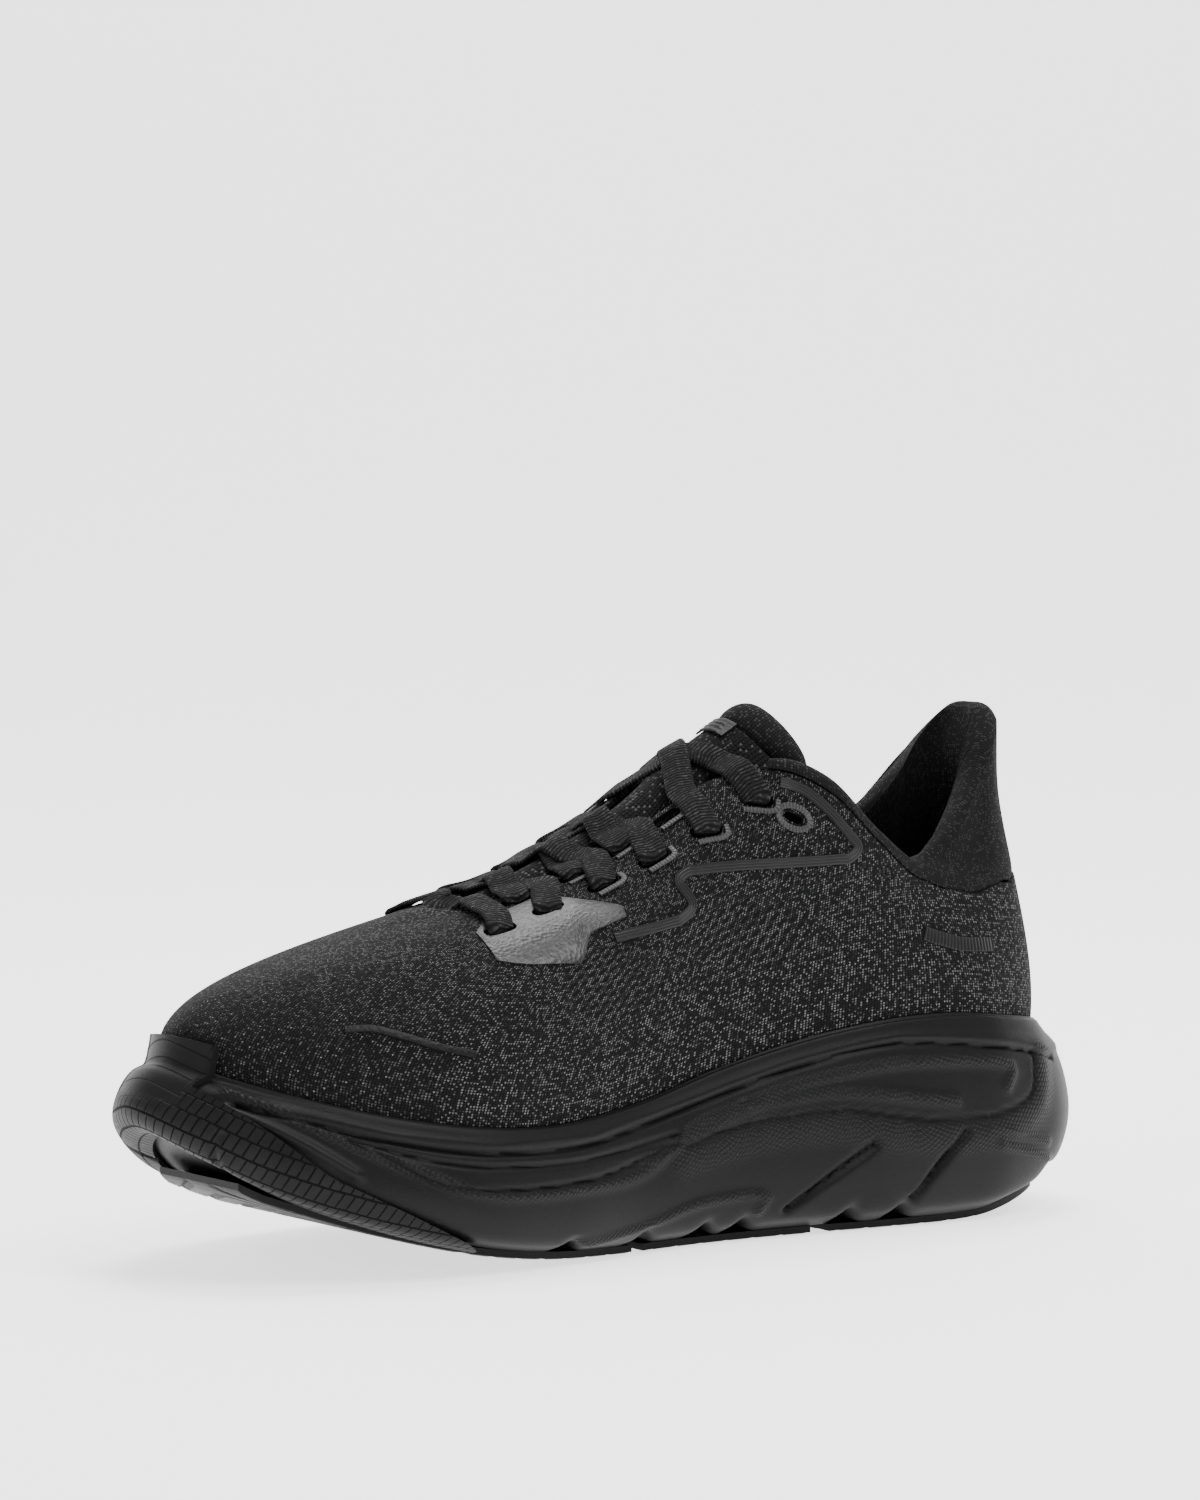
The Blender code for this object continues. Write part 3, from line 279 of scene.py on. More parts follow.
def smooth_path(points, spacing):
    """Points every spacing along a smooth open curve through the given points."""
    p = np.asarray(points, float)
    p = np.vstack([2 * p[0] - p[1], p, 2 * p[-1] - p[-2]])
    out = []
    for before, here, ahead, beyond in zip(p, p[1:], p[2:], p[3:], strict=False):
        count = max(1, round(np.linalg.norm(ahead - here) / spacing))
        out += [cubic(before, here, ahead, beyond, f) for f in np.arange(count) / count]
    out.append(p[-2])
    return np.array(out)


def resample(grid, count):
    """A grid's rows made into count rows on smooth curves through them."""
    padded = np.concatenate([[2 * grid[0] - grid[1]], grid, [2 * grid[-1] - grid[-2]]])
    place = np.linspace(0, len(grid) - 1, count)
    k = np.minimum(place.astype(int), len(grid) - 2)
    f = (place - k).reshape(-1, *[1] * (grid.ndim - 1))
    return cubic(padded[k], padded[k + 1], padded[k + 2], padded[k + 3], f)


def resample_across(grid, count):
    return np.swapaxes(resample(np.swapaxes(grid, 0, 1), count), 0, 1)


def sole_ring(column_in, column_out):
    return ring([[row[column_in]] for row in SOLE], [[row[column_out]] for row in SOLE])


OUTLINE = SCALE * ring([(r[0], r[1], 0) for r in SOLE], [(r[0], -r[2], 0) for r in SOLE])
RIM = sole_ring(3, 4) * SCALE[2]
TREAD = sole_ring(5, 5) * SCALE[2]
BITE = sole_ring(6, 6)
FOOTBED = sole_ring(7, 7) * SCALE[2]


def edge_ring(column):
    """One column of the edge table all round the shoe."""
    inner = [row[column] for row in EDGE]
    return SCALE * ring(inner, [(x, -y, z) for x, y, z in inner])


TOP = edge_ring(0)
LEAVE = edge_ring(1)
ARRIVE = edge_ring(2)


def outline(t, inset, height):
    """Points on the sole's outline, moved in by inset, at the given height."""
    t = np.asarray(t, float)
    small = 0.02
    direction = along(OUTLINE, t + small) - along(OUTLINE, t - small)
    direction /= np.linalg.norm(direction, axis=-1, keepdims=True)
    outward = np.stack([-direction[..., 1], direction[..., 0]], -1)
    points = along(OUTLINE, t)
    points[..., :2] -= outward * np.asarray(inset)[..., None]
    points[..., 2] = height
    return points


def value(control, t):
    return along(control, t)[..., 0]


def tread(t):
    return np.maximum(value(TREAD, t), 0.0)


def upper(t, v):
    """Outer face of the upper: v from -1 at the footbed to 0 at the rim and 1 at the top edge."""
    t, v = np.broadcast_arrays(np.asarray(t, float), np.asarray(v, float))
    bite, rim, bed = value(BITE, t), value(RIM, t), value(FOOTBED, t)
    foot = outline(t, bite + TUCK, bed + GAP)
    corner = outline(t, bite + STAND_IN, bed + 0.4 * (rim - bed))
    start = outline(t, bite + STAND_IN, rim + 0.5)
    end = along(TOP, t)
    first = start + along(LEAVE, t)
    second = end + along(ARRIVE, t)
    a = np.clip(v + 1, 0, 1)[..., None]
    cup = (1 - a) ** 2 * foot + 2 * a * (1 - a) * corner + a**2 * start
    b = np.clip(v, 0, None)[..., None]
    wall = (1 - b) ** 3 * start + 3 * b * (1 - b) ** 2 * first + 3 * b**2 * (1 - b) * second + b**3 * end
    return np.where(v[..., None] < 0, cup, wall)


def facing(t, v):
    """Outward direction of the upper's outer face."""
    t, v = np.broadcast_arrays(np.asarray(t, float), np.asarray(v, float))
    small = 0.02
    low = np.where(v > 1 - small, v - small, v)
    across = upper(t + small, v) - upper(t - small, v)
    up = upper(t, low + small) - upper(t, low)
    out = np.cross(up, across)
    return out / np.linalg.norm(out, axis=-1, keepdims=True)


def layer(t, v, height):
    """The upper's face moved out by height (in when it is negative)."""
    t, v = np.broadcast_arrays(np.asarray(t, float), np.asarray(v, float))
    return upper(t, v) + facing(t, v) * np.asarray(height, float)[..., None]


def heel_share(t, table):
    t = np.abs((np.asarray(t, float) + TOE) % TURN - TOE)
    return np.interp(t, range(len(table)), table)


def lining_depth(t, v):
    """How deep the lining's inner face lies below the upper's outer face."""
    swell = np.interp(v, (0.0, 0.25, 0.6, 0.85, 1.0), (0.25, 0.35, 0.8, 1.0, 0.9))
    return PAD_DEPTH + COLLAR_PAD * heel_share(t, PADDING) * swell + GAP + SKIN


def foam_rings(t):
    """Rings of the foam block, from its flat underside up the wall and down inside to the footbed."""
    bite, rim, bed = value(BITE, t), value(RIM, t), value(FOOTBED, t)
    low = tread(t) + RUBBER + GAP
    tall = rim - low
    levels = (
        (TREAD_INSET, low),
        (3.2, low + 0.07 * tall),
        (0.6, low + 0.2 * tall),
        (0, low + 0.38 * tall),
        (1.0 + 0.15 * (bite - 6), low + 0.62 * tall),
        (2.6 + 0.45 * (bite - 6), low + 0.82 * tall),
        (bite - 1.6, rim - 1.2),
        (bite - 0.5, rim),
        (bite + 0.4, rim - 0.3),
        (bite + 0.4, bed + 0.4 * (rim - bed)),
        (bite + 2.8, bed),
    )
    return np.array([outline(t, np.broadcast_to(inset, t.shape), z) for inset, z in levels])


# Where the shoe stands in the frame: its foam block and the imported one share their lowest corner
SHIFT = np.array(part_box("midsole")[0]) - foam_rings(np.arange(TURN * 2) / 2).reshape(-1, 3).min(0) * MM


def normals(grid, closed=False):
    """Directions square to a grid of points, one for each."""
    down = np.gradient(grid, axis=0)
    if closed:
        across = (np.roll(grid, -1, 1) - np.roll(grid, 1, 1)) / 2
    else:
        across = np.gradient(grid, axis=1)
    out = np.cross(down, across)
    return out / np.maximum(np.linalg.norm(out, axis=-1, keepdims=True), 1e-9)


def distance_to(points, line):
    """How far each (x, z) point lies from a line of (x, z) points."""
    line = smooth_path(line, 4.0)
    best = np.full(points.shape[:-1], 1e9)
    for a, b in zip(line, line[1:], strict=False):
        way = b - a
        f = np.clip(((points - a) @ way) / (way @ way), 0, 1)
        far = np.linalg.norm(points - (a + f[..., None] * way), axis=-1)
        best = np.minimum(best, far)
    return best


# ---------------------------------------------------------------- meshes


def grid_faces(rows, cols, first=0, closed=False):
    reach = cols if closed else cols - 1
    r, c = np.meshgrid(np.arange(rows - 1), np.arange(reach), indexing="ij")
    n = (c + 1) % cols
    corners = np.stack([r * cols + c, r * cols + n, (r + 1) * cols + n, (r + 1) * cols + c], -1)
    return (corners.reshape(-1, 4) + first).tolist()


def shell(front, back, closed=False):
    """Vertices and faces of the closed skin between two grids of rows and columns."""
    rows, cols = front.shape[:2]
    count = rows * cols
    faces = grid_faces(rows, cols, 0, closed)
    faces += [face[::-1] for face in grid_faces(rows, cols, count, closed)]
    for c in range(cols if closed else cols - 1):
        n = (c + 1) % cols
        last = (rows - 1) * cols
        faces.append((n, c, count + c, count + n))
        faces.append((last + c, last + n, count + last + n, count + last + c))
    if not closed:
        for r in range(rows - 1):
            a, b = r * cols, (r + 1) * cols
            faces.append((a, b, count + b, count + a))
            a, b = a + cols - 1, b + cols - 1
            faces.append((b, a, count + a, count + b))
    return np.concatenate([front.reshape(-1, 3), back.reshape(-1, 3)]), faces


def new_piece(name, vertices, faces, look, body="shoe", places=None, swell=0, angle=40):
    """A shoe piece from points in millimetres, with places as its (along, up) layout in millimetres."""
    mesh = bpy.data.meshes.new(name)
    mesh.from_pydata((np.asarray(vertices) * MM + SHIFT).tolist(), [], faces)
    if places is not None:
        spread = np.asarray(places, float).reshape(-1, 2)
        corners = np.zeros(len(mesh.loops), int)
        mesh.loops.foreach_get("vertex_index", corners)
        layout = spread[corners]
        starts = np.zeros(len(mesh.polygons), int)
        totals = np.zeros(len(mesh.polygons), int)
        mesh.polygons.foreach_get("loop_start", starts)
        mesh.polygons.foreach_get("loop_total", totals)
        owner = np.repeat(np.arange(len(starts)), totals)
        reach = np.maximum.reduceat(layout[:, 0], starts)[owner]
        whole = spread[:, 0].max()
        wraps = (reach > 0.75 * whole) & (layout[:, 0] < 0.25 * whole)
        layout[wraps, 0] += whole
        mesh.uv_layers.new(name="layout").data.foreach_set("uv", layout.ravel())
    made = bpy.data.objects.new(name, mesh)
    bpy.context.collection.objects.link(made)
    bpy.context.view_layer.objects.active = made
    bpy.ops.object.select_all(action="DESELECT")
    made.select_set(True)
    bpy.ops.object.mode_set(mode="EDIT")
    bpy.ops.mesh.select_all(action="SELECT")
    bpy.ops.mesh.normals_make_consistent(inside=False)
    bpy.ops.object.mode_set(mode="OBJECT")
    mesh.shade_smooth()
    mesh.set_sharp_from_angle(angle=math.radians(angle))
    mesh.materials.append(look)
    if swell:
        smooth = made.modifiers.new("soft edges", "SUBSURF")
        smooth.levels = swell
        smooth.render_levels = swell
    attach(made, body)
    return made


def lengths(grid, axis):
    """Running length in millimetres over a grid of points, along one axis."""
    step = np.linalg.norm(np.diff(grid, axis=axis), axis=-1)
    start = np.zeros_like(step.take([0], axis=axis))
    return np.concatenate([start, np.cumsum(step, axis=axis)], axis=axis)


def layout(grid, closed=False):
    """(along, up) places in millimetres of a grid: along its middle row, up each column."""
    middle = grid[len(grid) // 2][None]
    along_it = np.broadcast_to(lengths(middle, 1), grid.shape[:2])
    if closed:
        whole = along_it.max() + np.linalg.norm(middle[0, 0] - middle[0, -1])
        along_it = along_it * (np.ceil(whole) / whole)
    return np.stack([along_it, lengths(grid, 0)], -1)


def both_faces(grid):
    """The layout of a grid's front and of its back."""
    return np.tile(layout(grid).reshape(-1, 2), (2, 1))


def frames(points):
    direction = np.gradient(np.asarray(points, float), axis=0)
    return direction / np.linalg.norm(direction, axis=1, keepdims=True)


# Half of a band's outline, as shares of its half width and of its height
BAND_PROFILE = (
    (-1, 0), (-1, 0.6), (-0.93, 0.93), (-0.8, 1), (0, 1.04), (0.8, 1),
    (0.93, 0.93), (1, 0.6), (1, 0),
)


def strip(centres, across, out, width, low, high, profile=BAND_PROFILE, closed=False):
    """Skin of a band with rounded edges, and its layout (along, across)."""
    centres, across, out = (np.asarray(a, float) for a in (centres, across, out))
    count = len(centres)
    half = np.broadcast_to(np.asarray(width, float) / 2, count)[:, None]
    low = np.broadcast_to(np.asarray(low, float).reshape(-1, 1), (count, 1))
    high = np.broadcast_to(np.asarray(high, float).reshape(-1, 1), (count, 1))
    grid = np.stack([centres + across * half * a + out * (low + (high - low) * b) for a, b in profile], 1)
    sides = len(profile)
    loop = grid_faces(count, sides, 0, True)
    last = (count - 1) * sides
    if closed:
        loop += [(last + k, last + (k + 1) % sides, (k + 1) % sides, k) for k in range(sides)]
    else:
        loop += [tuple(range(sides)), tuple(last + k for k in range(sides - 1, -1, -1))]
    run = lengths(centres[None], 1)[0]
    over = half * np.array([a for a, _ in profile])[None, :]
    places = np.stack([np.broadcast_to(run[:, None], over.shape), over + 20], -1)
    return grid.reshape(-1, 3), loop, places.reshape(-1, 2)


def merge(parts):
    """Several skins as one: vertices, faces and layout."""
    vertices, faces, places = [], [], []
    start = 0
    for points, polygons, spread in parts:
        vertices.append(points)
        places.append(spread)
        faces += [tuple(start + corner for corner in face) for face in polygons]
        start += len(points)
    return np.concatenate(vertices), faces, np.concatenate(places)


def loft(rings):
    """Closed skin through a stack of rings, its two ends closed from side to side."""
    rows, cols = rings.shape[:2]
    faces = grid_faces(rows, cols, 0, True)
    for first, turned in ((0, True), ((rows - 1) * cols, False)):
        half = cols // 2
        rungs = [(first, first + 1, first + cols - 1)]
        for c in range(1, half - 1):
            rungs.append((first + c, first + c + 1, first + cols - c - 1, first + cols - c))
        rungs.append((first + half - 1, first + half, first + half + 1))
        faces += [face[::-1] for face in rungs] if turned else rungs
    return rings.reshape(-1, 3), faces, layout(rings, True).reshape(-1, 2)


def cut(thing, cutter):
    """Cuts thing with cutter and keeps the result as its mesh."""
    change = thing.modifiers.new("cut", "BOOLEAN")
    change.operation = "DIFFERENCE"
    change.solver = "EXACT"
    change.use_self = True
    change.object = cutter
    bpy.context.view_layer.objects.active = thing
    bpy.ops.object.modifier_apply(modifier=change.name)


def cutter_of(vertices, faces, look):
    mesh = bpy.data.meshes.new("cutter")
    mesh.from_pydata((np.asarray(vertices) * MM + SHIFT).tolist(), [], faces)
    mesh.materials.append(look)
    made = bpy.data.objects.new("cutter", mesh)
    bpy.context.collection.objects.link(made)
    work = bmesh.new()
    work.from_mesh(mesh)
    bmesh.ops.recalc_face_normals(work, faces=work.faces)
    work.to_mesh(mesh)
    work.free()
    return made


PRESSURE = 4.0
STIFFNESS = 15.0
CLOTH_FRAMES = 20


def swollen(grid, back, held_rows, held_cols, most):
    """The front grid of a padded piece after a cloth simulation has blown the piece up a little."""
    vertices, faces = shell(grid, back)
    mesh = bpy.data.meshes.new("swelling")
    mesh.from_pydata((vertices * MM).tolist(), [], faces)
    thing = bpy.data.objects.new("swelling", mesh)
    bpy.context.collection.objects.link(thing)
    rows, cols = grid.shape[:2]
    index = np.arange(rows * cols).reshape(rows, cols)
    fixed = set(range(rows * cols, 2 * rows * cols))
    for row in held_rows:
        fixed |= set(index[row].tolist())
    for col in held_cols:
        fixed |= set(index[:, col].tolist())
    thing.vertex_groups.new(name="held").add(sorted(fixed), 1.0, "REPLACE")
    cloth = thing.modifiers.new("swell", "CLOTH")
    cloth.settings.vertex_group_mass = "held"
    cloth.settings.use_pressure = True
    cloth.settings.uniform_pressure_force = PRESSURE
    cloth.settings.effector_weights.gravity = 0
    cloth.settings.tension_stiffness = STIFFNESS
    cloth.settings.compression_stiffness = STIFFNESS
    scene = bpy.context.scene
    for number in range(1, CLOTH_FRAMES + 1):
        scene.frame_set(number)
    shaped = thing.evaluated_get(bpy.context.evaluated_depsgraph_get()).to_mesh()
    moved = np.zeros(len(vertices) * 3)
    shaped.vertices.foreach_get("co", moved)
    scene.frame_set(1)
    bpy.data.objects.remove(thing, do_unlink=True)
    step = moved.reshape(-1, 3)[: rows * cols].reshape(grid.shape) / MM - grid
    far = np.linalg.norm(step, axis=-1, keepdims=True)
    return grid + step * np.minimum(1.0, most / np.maximum(far, 1e-9))


# ---------------------------------------------------------------- material arithmetic

SHEEN = 0.16  # how strongly a matt surface mirrors its surroundings


class Value:
    """A node's output that arithmetic can be done on."""

    def __init__(self, shade, socket):
        self.shade = shade
        self.socket = socket

    def __add__(self, other):
        return self.shade.maths("ADD", self, other)

    def __radd__(self, other):
        return self.shade.maths("ADD", other, self)

    def __sub__(self, other):
        return self.shade.maths("SUBTRACT", self, other)

    def __rsub__(self, other):
        return self.shade.maths("SUBTRACT", other, self)

    def __mul__(self, other):
        return self.shade.maths("MULTIPLY", self, other)

    def __rmul__(self, other):
        return self.shade.maths("MULTIPLY", other, self)

    def __truediv__(self, other):
        return self.shade.maths("DIVIDE", self, other)

    def __rtruediv__(self, other):
        return self.shade.maths("DIVIDE", other, self)

    def __pow__(self, other):
        return self.shade.maths("POWER", self, other)

    def __rpow__(self, other):
        return self.shade.maths("POWER", other, self)


def socket_name(key):
    """Name of the surface's input that a keyword such as base_color stands for."""
    return key.replace("_", " ").title().replace("Ior", "IOR")


class Shade:
    """One material and the nodes that make its look."""

    def __init__(self, name, colour, roughness, **settings):
        self.material = bpy.data.materials.new(name)
        self.material.use_nodes = True
        self.tree = self.material.node_tree
        self.surface = self.tree.nodes["Principled BSDF"]
        self.surface.inputs["Base Color"].default_value = (*colour, 1)
        self.surface.inputs["Roughness"].default_value = roughness
        self.surface.inputs["Specular IOR Level"].default_value = SHEEN
        for key, number in settings.items():
            self.surface.inputs[socket_name(key)].default_value = number

    def node(self, kind, settings=(), values=(), output=0):
        """A node with its settings made first, then its inputs set or linked."""
        made = self.tree.nodes.new(kind)
        for key, choice in dict(settings).items():
            setattr(made, key, choice)
        pairs = values.items() if isinstance(values, dict) else enumerate(values)
        for key, given in pairs:
            if isinstance(given, Value):
                self.tree.links.new(given.socket, made.inputs[key])
            else:
                made.inputs[key].default_value = given
        return Value(self, made.outputs[output])

    def maths(self, operation, *values):
        return self.node("ShaderNodeMath", {"operation": operation}, values)

    def layout(self):
        """The piece's own layout, along and up, in millimetres."""
        spread = self.node("ShaderNodeUVMap", {"uv_map": "layout"})
        return [self.node("ShaderNodeSeparateXYZ", (), (spread,), k) for k in range(2)]

    def place(self):
        """Where the point is on the shoe, in millimetres from its middle."""
        point = self.node("ShaderNodeTexCoord", (), (), "Object")
        return [self.node("ShaderNodeSeparateXYZ", (), (point,), k) / MM for k in range(3)]

    def vector(self, x, y, z=0.0):
        return self.node("ShaderNodeCombineXYZ", (), (x, y, z))

    def noise(self, point, scale, detail=2.0):
        settings = {"noise_dimensions": "3D"}
        return self.node("ShaderNodeTexNoise", settings, {"Vector": point, "Scale": scale, "Detail": detail})

    def chance(self, point):
        return self.node("ShaderNodeTexWhiteNoise", {"noise_dimensions": "3D"}, {"Vector": point})

    def smooth(self, value, low, high):
        """0 below low and 1 above high, softly between."""
        settings = {"interpolation_type": "SMOOTHSTEP"}
        return self.node("ShaderNodeMapRange", settings, {"Value": value, "From Min": low, "From Max": high})

    def sine(self, value, pitch):
        """A wave from 0 to 1 that repeats every pitch."""
        return self.maths("SINE", value * (2 * math.pi / pitch)) * 0.5 + 0.5

    def mix(self, share, first, second):
        """A colour between two colours."""
        settings = {"data_type": "RGBA"}
        colours = [c if isinstance(c, Value) else (*c, 1) for c in (first, second)]
        values = {"Factor": share, 6: colours[0], 7: colours[1]}
        return self.node("ShaderNodeMix", settings, values, 2)

    def put(self, **inputs):
        """Links values to the surface's inputs."""
        for key, given in inputs.items():
            self.tree.links.new(given.socket, self.surface.inputs[socket_name(key)])

    def relief(self, height, depth):
        """Bumps from a height of 0 to 1, depth millimetres high."""
        values = {"Strength": 1.0, "Distance": depth * MM, "Height": height}
        self.put(normal=self.node("ShaderNodeBump", (), values))


def ellipse(shade, point, middle, reach):
    """Nearness to a middle: 1 there and 0 on an ellipse round it."""
    total = 0.0
    for here, centre, far in zip(point, middle, reach, strict=True):
        total = ((here - centre) / far) ** 2 + total
    return shade.smooth(total, 1.0, 0.0)


# ---------------------------------------------------------------- finding places on the upper


def find(target, axes, side):
    """Station parameter and height share of the point that lies at target in the two axes."""
    target = np.asarray(target, float) * SCALE[list(axes)]
    stations = np.linspace(0, TOE, 141)[:, None]
    shares = np.linspace(0, 1, 61)[None, :]
    if side == LATERAL:
        stations = TURN - stations
    distance = np.linalg.norm(upper(stations, shares)[..., axes] - target, axis=-1)
    row, col = np.unravel_index(distance.argmin(), distance.shape)
    t, v = stations[row, 0], shares[0, col]
    step = 0.01
    for _ in range(4):
        here = upper(t, v)[..., axes]
        slope = np.stack([upper(t + step, v)[..., axes] - here, upper(t, v - step)[..., axes] - here], -1)
        move = np.linalg.lstsq(slope, target - here, rcond=None)[0] * step
        t = t + np.clip(move[0], -0.1, 0.1)
        v = float(np.clip(v - np.clip(move[1], -0.05, 0.05), 0.0, 1.0))
    return t, v


def on_side(x, z, side):
    return find((x, z), (0, 2), side)


def on_top(x, y, side):
    return find((x, y * side), (0, 1), side)


def surface_band(places, width, low=FILM_GAP, high=FILM_GAP + FILM):
    """Skin of a band laid on the upper along (t, v) places."""
    t, v = np.asarray(places, float).T
    centres, out = upper(t, v), facing(t, v)
    across = np.cross(out, frames(centres))
    across /= np.linalg.norm(across, axis=1, keepdims=True)
    return strip(centres, across, out, width, low, high)


def side_path(points, side, spacing):
    """(t, v) places along a smooth line through (x, z) points on one side of the shoe."""
    rough = np.array([on_side(x, z, side) for x, z in smooth_path(points, 5.0)])
    return smooth_path(rough, spacing * 0.02)


def hole_frame(x, y, side):
    """Middle of a lace hole, and its directions: along the eyestay, across it and out."""
    t, v = on_top(x, y, side)
    out = facing(t, v)
    lane = along(TOP, np.array(t) + 0.2 * side) - along(TOP, np.array(t) - 0.2 * side)
    lane -= out * np.dot(lane, out)
    lane /= np.linalg.norm(lane)
    return upper(t, v), lane, np.cross(out, lane), out


def hole_cutter(x, y, side, long, wide):
    """Closed slot with round ends through every layer at a lace hole."""
    centre, lane, across, out = hole_frame(x, y, side)
    points = []
    for k in range(24):
        turn = 2 * math.pi * k / 24
        a, b = math.cos(turn), math.sin(turn)
        a, b = (math.copysign(abs(c) ** 0.7, c) for c in (a, b))
        points.append((a * long / 2, b * wide / 2))
    ends = [centre + lane * a + across * b + out * level for level in CUTTER_REACH for a, b in points]
    count = len(points)
    faces = [(k, (k + 1) % count, count + (k + 1) % count, count + k) for k in range(count)]
    faces += [tuple(range(count - 1, -1, -1)), tuple(range(count, 2 * count))]
    return np.array(ends), faces, np.zeros((2 * count, 2))


def holes():
    parts = []
    for side in SIDES.values():
        for x, y in OUTER_HOLES + INNER_HOLES:
            parts.append(hole_cutter(x, y, side, SLOT_LONG, SLOT_WIDE))
        parts.append(hole_cutter(*SPARE_HOLE, side, *SPARE_SLOT))
    return merge(parts)[:2]


# ---------------------------------------------------------------- tongue and lace


def surface_tree(grid, closed):
    faces = grid_faces(grid.shape[0], grid.shape[1], 0, closed)
    return BVHTree.FromPolygons([Vector(p) for p in grid.reshape(-1, 3)], faces)


def drop_on(tree, x, y):
    """Height and facing of the highest surface point above x, y, or None."""
    place, normal, _, _ = tree.ray_cast(Vector((x, y, 1000)), Vector((0, 0, -1)))
    if place is None:
        return None
    normal = np.array(normal)
    return place.z, normal * np.sign(normal[2])


def upper_tree():
    stations = np.arange(TURN * 2) / 2
    v = np.linspace(0, 1, 25)[:, None] + 0 * stations
    return surface_tree(upper(np.broadcast_to(stations, v.shape), v), True)


def tongue_grid(tree):
    """Outer face of the tongue, kept below the upper and the lace that runs under it."""
    rows = smooth_path(TONGUE_ROWS, 12)
    share = np.linspace(1, -1, 15)
    grid = []
    for x, z, half, drop, back in rows:
        line = np.stack([x - back * share**2, half * share, z - drop * share**2], -1) * SCALE
        for _ in range(3):
            limit = line[:, 2].copy()
            for k, (px, py, _) in enumerate(line):
                hit = drop_on(tree, px, py)
                if hit:
                    limit[k] = min(limit[k], hit[0] - TONGUE_DEPTH / max(0.25, hit[1][2]))
            line[:, 2] = limit
            line[1:-1, 2] = (limit[:-2] + 2 * limit[1:-1] + limit[2:]) / 4
            line[:, 2] = np.minimum(line[:, 2], limit)
        grid.append(line)
    return np.array(grid)


class Route:
    """The lace's path: its middle line with the direction that its flat face looks along."""

    def __init__(self, upper_surface, tongue_surface):
        self.trees = (upper_surface, tongue_surface)
        self.points = []
        self.faces = []
        self.gathers = []

    def add(self, point, face, gather=0.0):
        self.points.append(np.asarray(point, float))
        self.faces.append(np.asarray(face, float))
        self.gathers.append(gather)

    def over(self, x, y, lift):
        """A point on top of everything at x, y, and clear of what lies beside it."""
        hits = [hit for hit in (drop_on(tree, x, y) for tree in self.trees) if hit]
        z, out = max(hits, key=lambda hit: hit[0])
        out = out * (1, 0.5, 1)
        out /= np.linalg.norm(out)
        here = np.array((x, y, z))
        rise = 0.0
        for beside_x in (x - LACE_WIDTH / 2, x, x + LACE_WIDTH / 2):
            for beside_y in (y - 2, y, y + 2):
                for tree in self.trees:
                    hit = drop_on(tree, beside_x, beside_y)
                    if hit:
                        rise = max(rise, np.dot(np.array((beside_x, beside_y, hit[0])) - here, out))
        self.add(here + out * (LACE_OVER + lift + rise * 0.5), out)

    def hole(self, hole, side, entering):
        """Straight through a lace hole, entering from above or coming up."""
        centre, _, across, out = hole_frame(*hole, side)
        across = across * side * np.sign(across[1])
        steps = [
            (centre + out * LACE_OVER, out + across, 0.05),
            (centre - out * KNIT / 2, across, 0.3),
            (centre - out * (LACE_DEPTH - 0.5), across, 1.0),
        ]
        for point, face, gather in steps if entering else steps[::-1]:
            self.add(point, face / np.linalg.norm(face), gather)

    def under(self, x, y, side):
        """A point flat against the inside of the eyestay."""
        centre, _, across, out = hole_frame(x, y, side)
        self.add(centre - out * LACE_DEPTH, across * side * np.sign(across[1]), 1.0)

    def bar(self, start, start_side, end, lift, middle):
        """Over the tongue from one hole to one on the other side."""
        (x0, _), (x1, _) = start, end
        stops = [((x0 + middle) / 2, 20, 0), (middle, 14.5, 0)]
        for share, y, rise in ((0.25, 7, 0.6), (0.5, 0, 1), (0.75, -7, 0.6), (0.92, -11.5, 0.2)):
            stops.append((middle * (1 - share) + x1 * share, y, rise))
        for x, y, rise in stops:
            self.over(x * SCALE[0], y * start_side * SCALE[1], lift * rise)

    def across_under(self, start, end, side):
        """Under the eyestay from a hole to the next outer one on the same side."""
        (x0, y0), (x1, y1) = start, end
        for share in (0.25, 0.5, 0.75):
            self.under(x0 + (x1 - x0) * share, y0 + (y1 - y0) * share, side)


def lace_half(route, side):
    """One half of the lace, from the middle of the lowest bar to its tucked end."""
    here, there = side, -side
    level = 0.0 if side == MEDIAL else LACE + LACE_ROOM
    route.over(201.5 * SCALE[0], 0, LACE_ROOM)
    for y in (4, 8, 15, 21):
        route.over(202.5 * SCALE[0], y * here * SCALE[1], LACE_ROOM)
    route.hole(OUTER_HOLES[0], here, True)
    route.across_under(OUTER_HOLES[0], OUTER_HOLES[1], here)
    for k in range(3):
        start, end = OUTER_HOLES[k + 1], INNER_HOLES[k]
        middle = (INNER_HOLES[k][0] + INNER_HOLES[k + 1][0]) / 2
        route.hole(start, here, False)
        route.bar(start, here, end, level, middle)
        route.hole(end, there, True)
        route.across_under(end, OUTER_HOLES[k + 2], there)
        here, there = there, here
    start, end = OUTER_HOLES[4], OUTER_HOLES[5]
    route.hole(start, here, False)
    route.bar(start, here, end, level, 136.5)
    route.over(122 * SCALE[0], -21 * here * SCALE[1], 0.0)
    route.hole(end, there, True)
    t, v = on_top(*end, there)
    for drop in (0.08, 0.16, 0.24, 0.32):
        route.add(layer(t, v - drop, -LACE_DEPTH - 4 * drop), facing(t, v - drop), 1.0)


# The lace's outline: a flat tube with round edges, as shares of half its width and thickness
LACE_PROFILE = (
    (-1, 0), (-0.96, 0.6), (-0.86, 0.95), (-0.5, 1), (0, 1.05), (0.5, 1), (0.86, 0.95), (0.96, 0.6),
    (1, 0), (0.96, -0.6), (0.86, -0.95), (0.5, -1), (0, -1.05), (-0.5, -1), (-0.86, -0.95), (-0.96, -0.6),
)


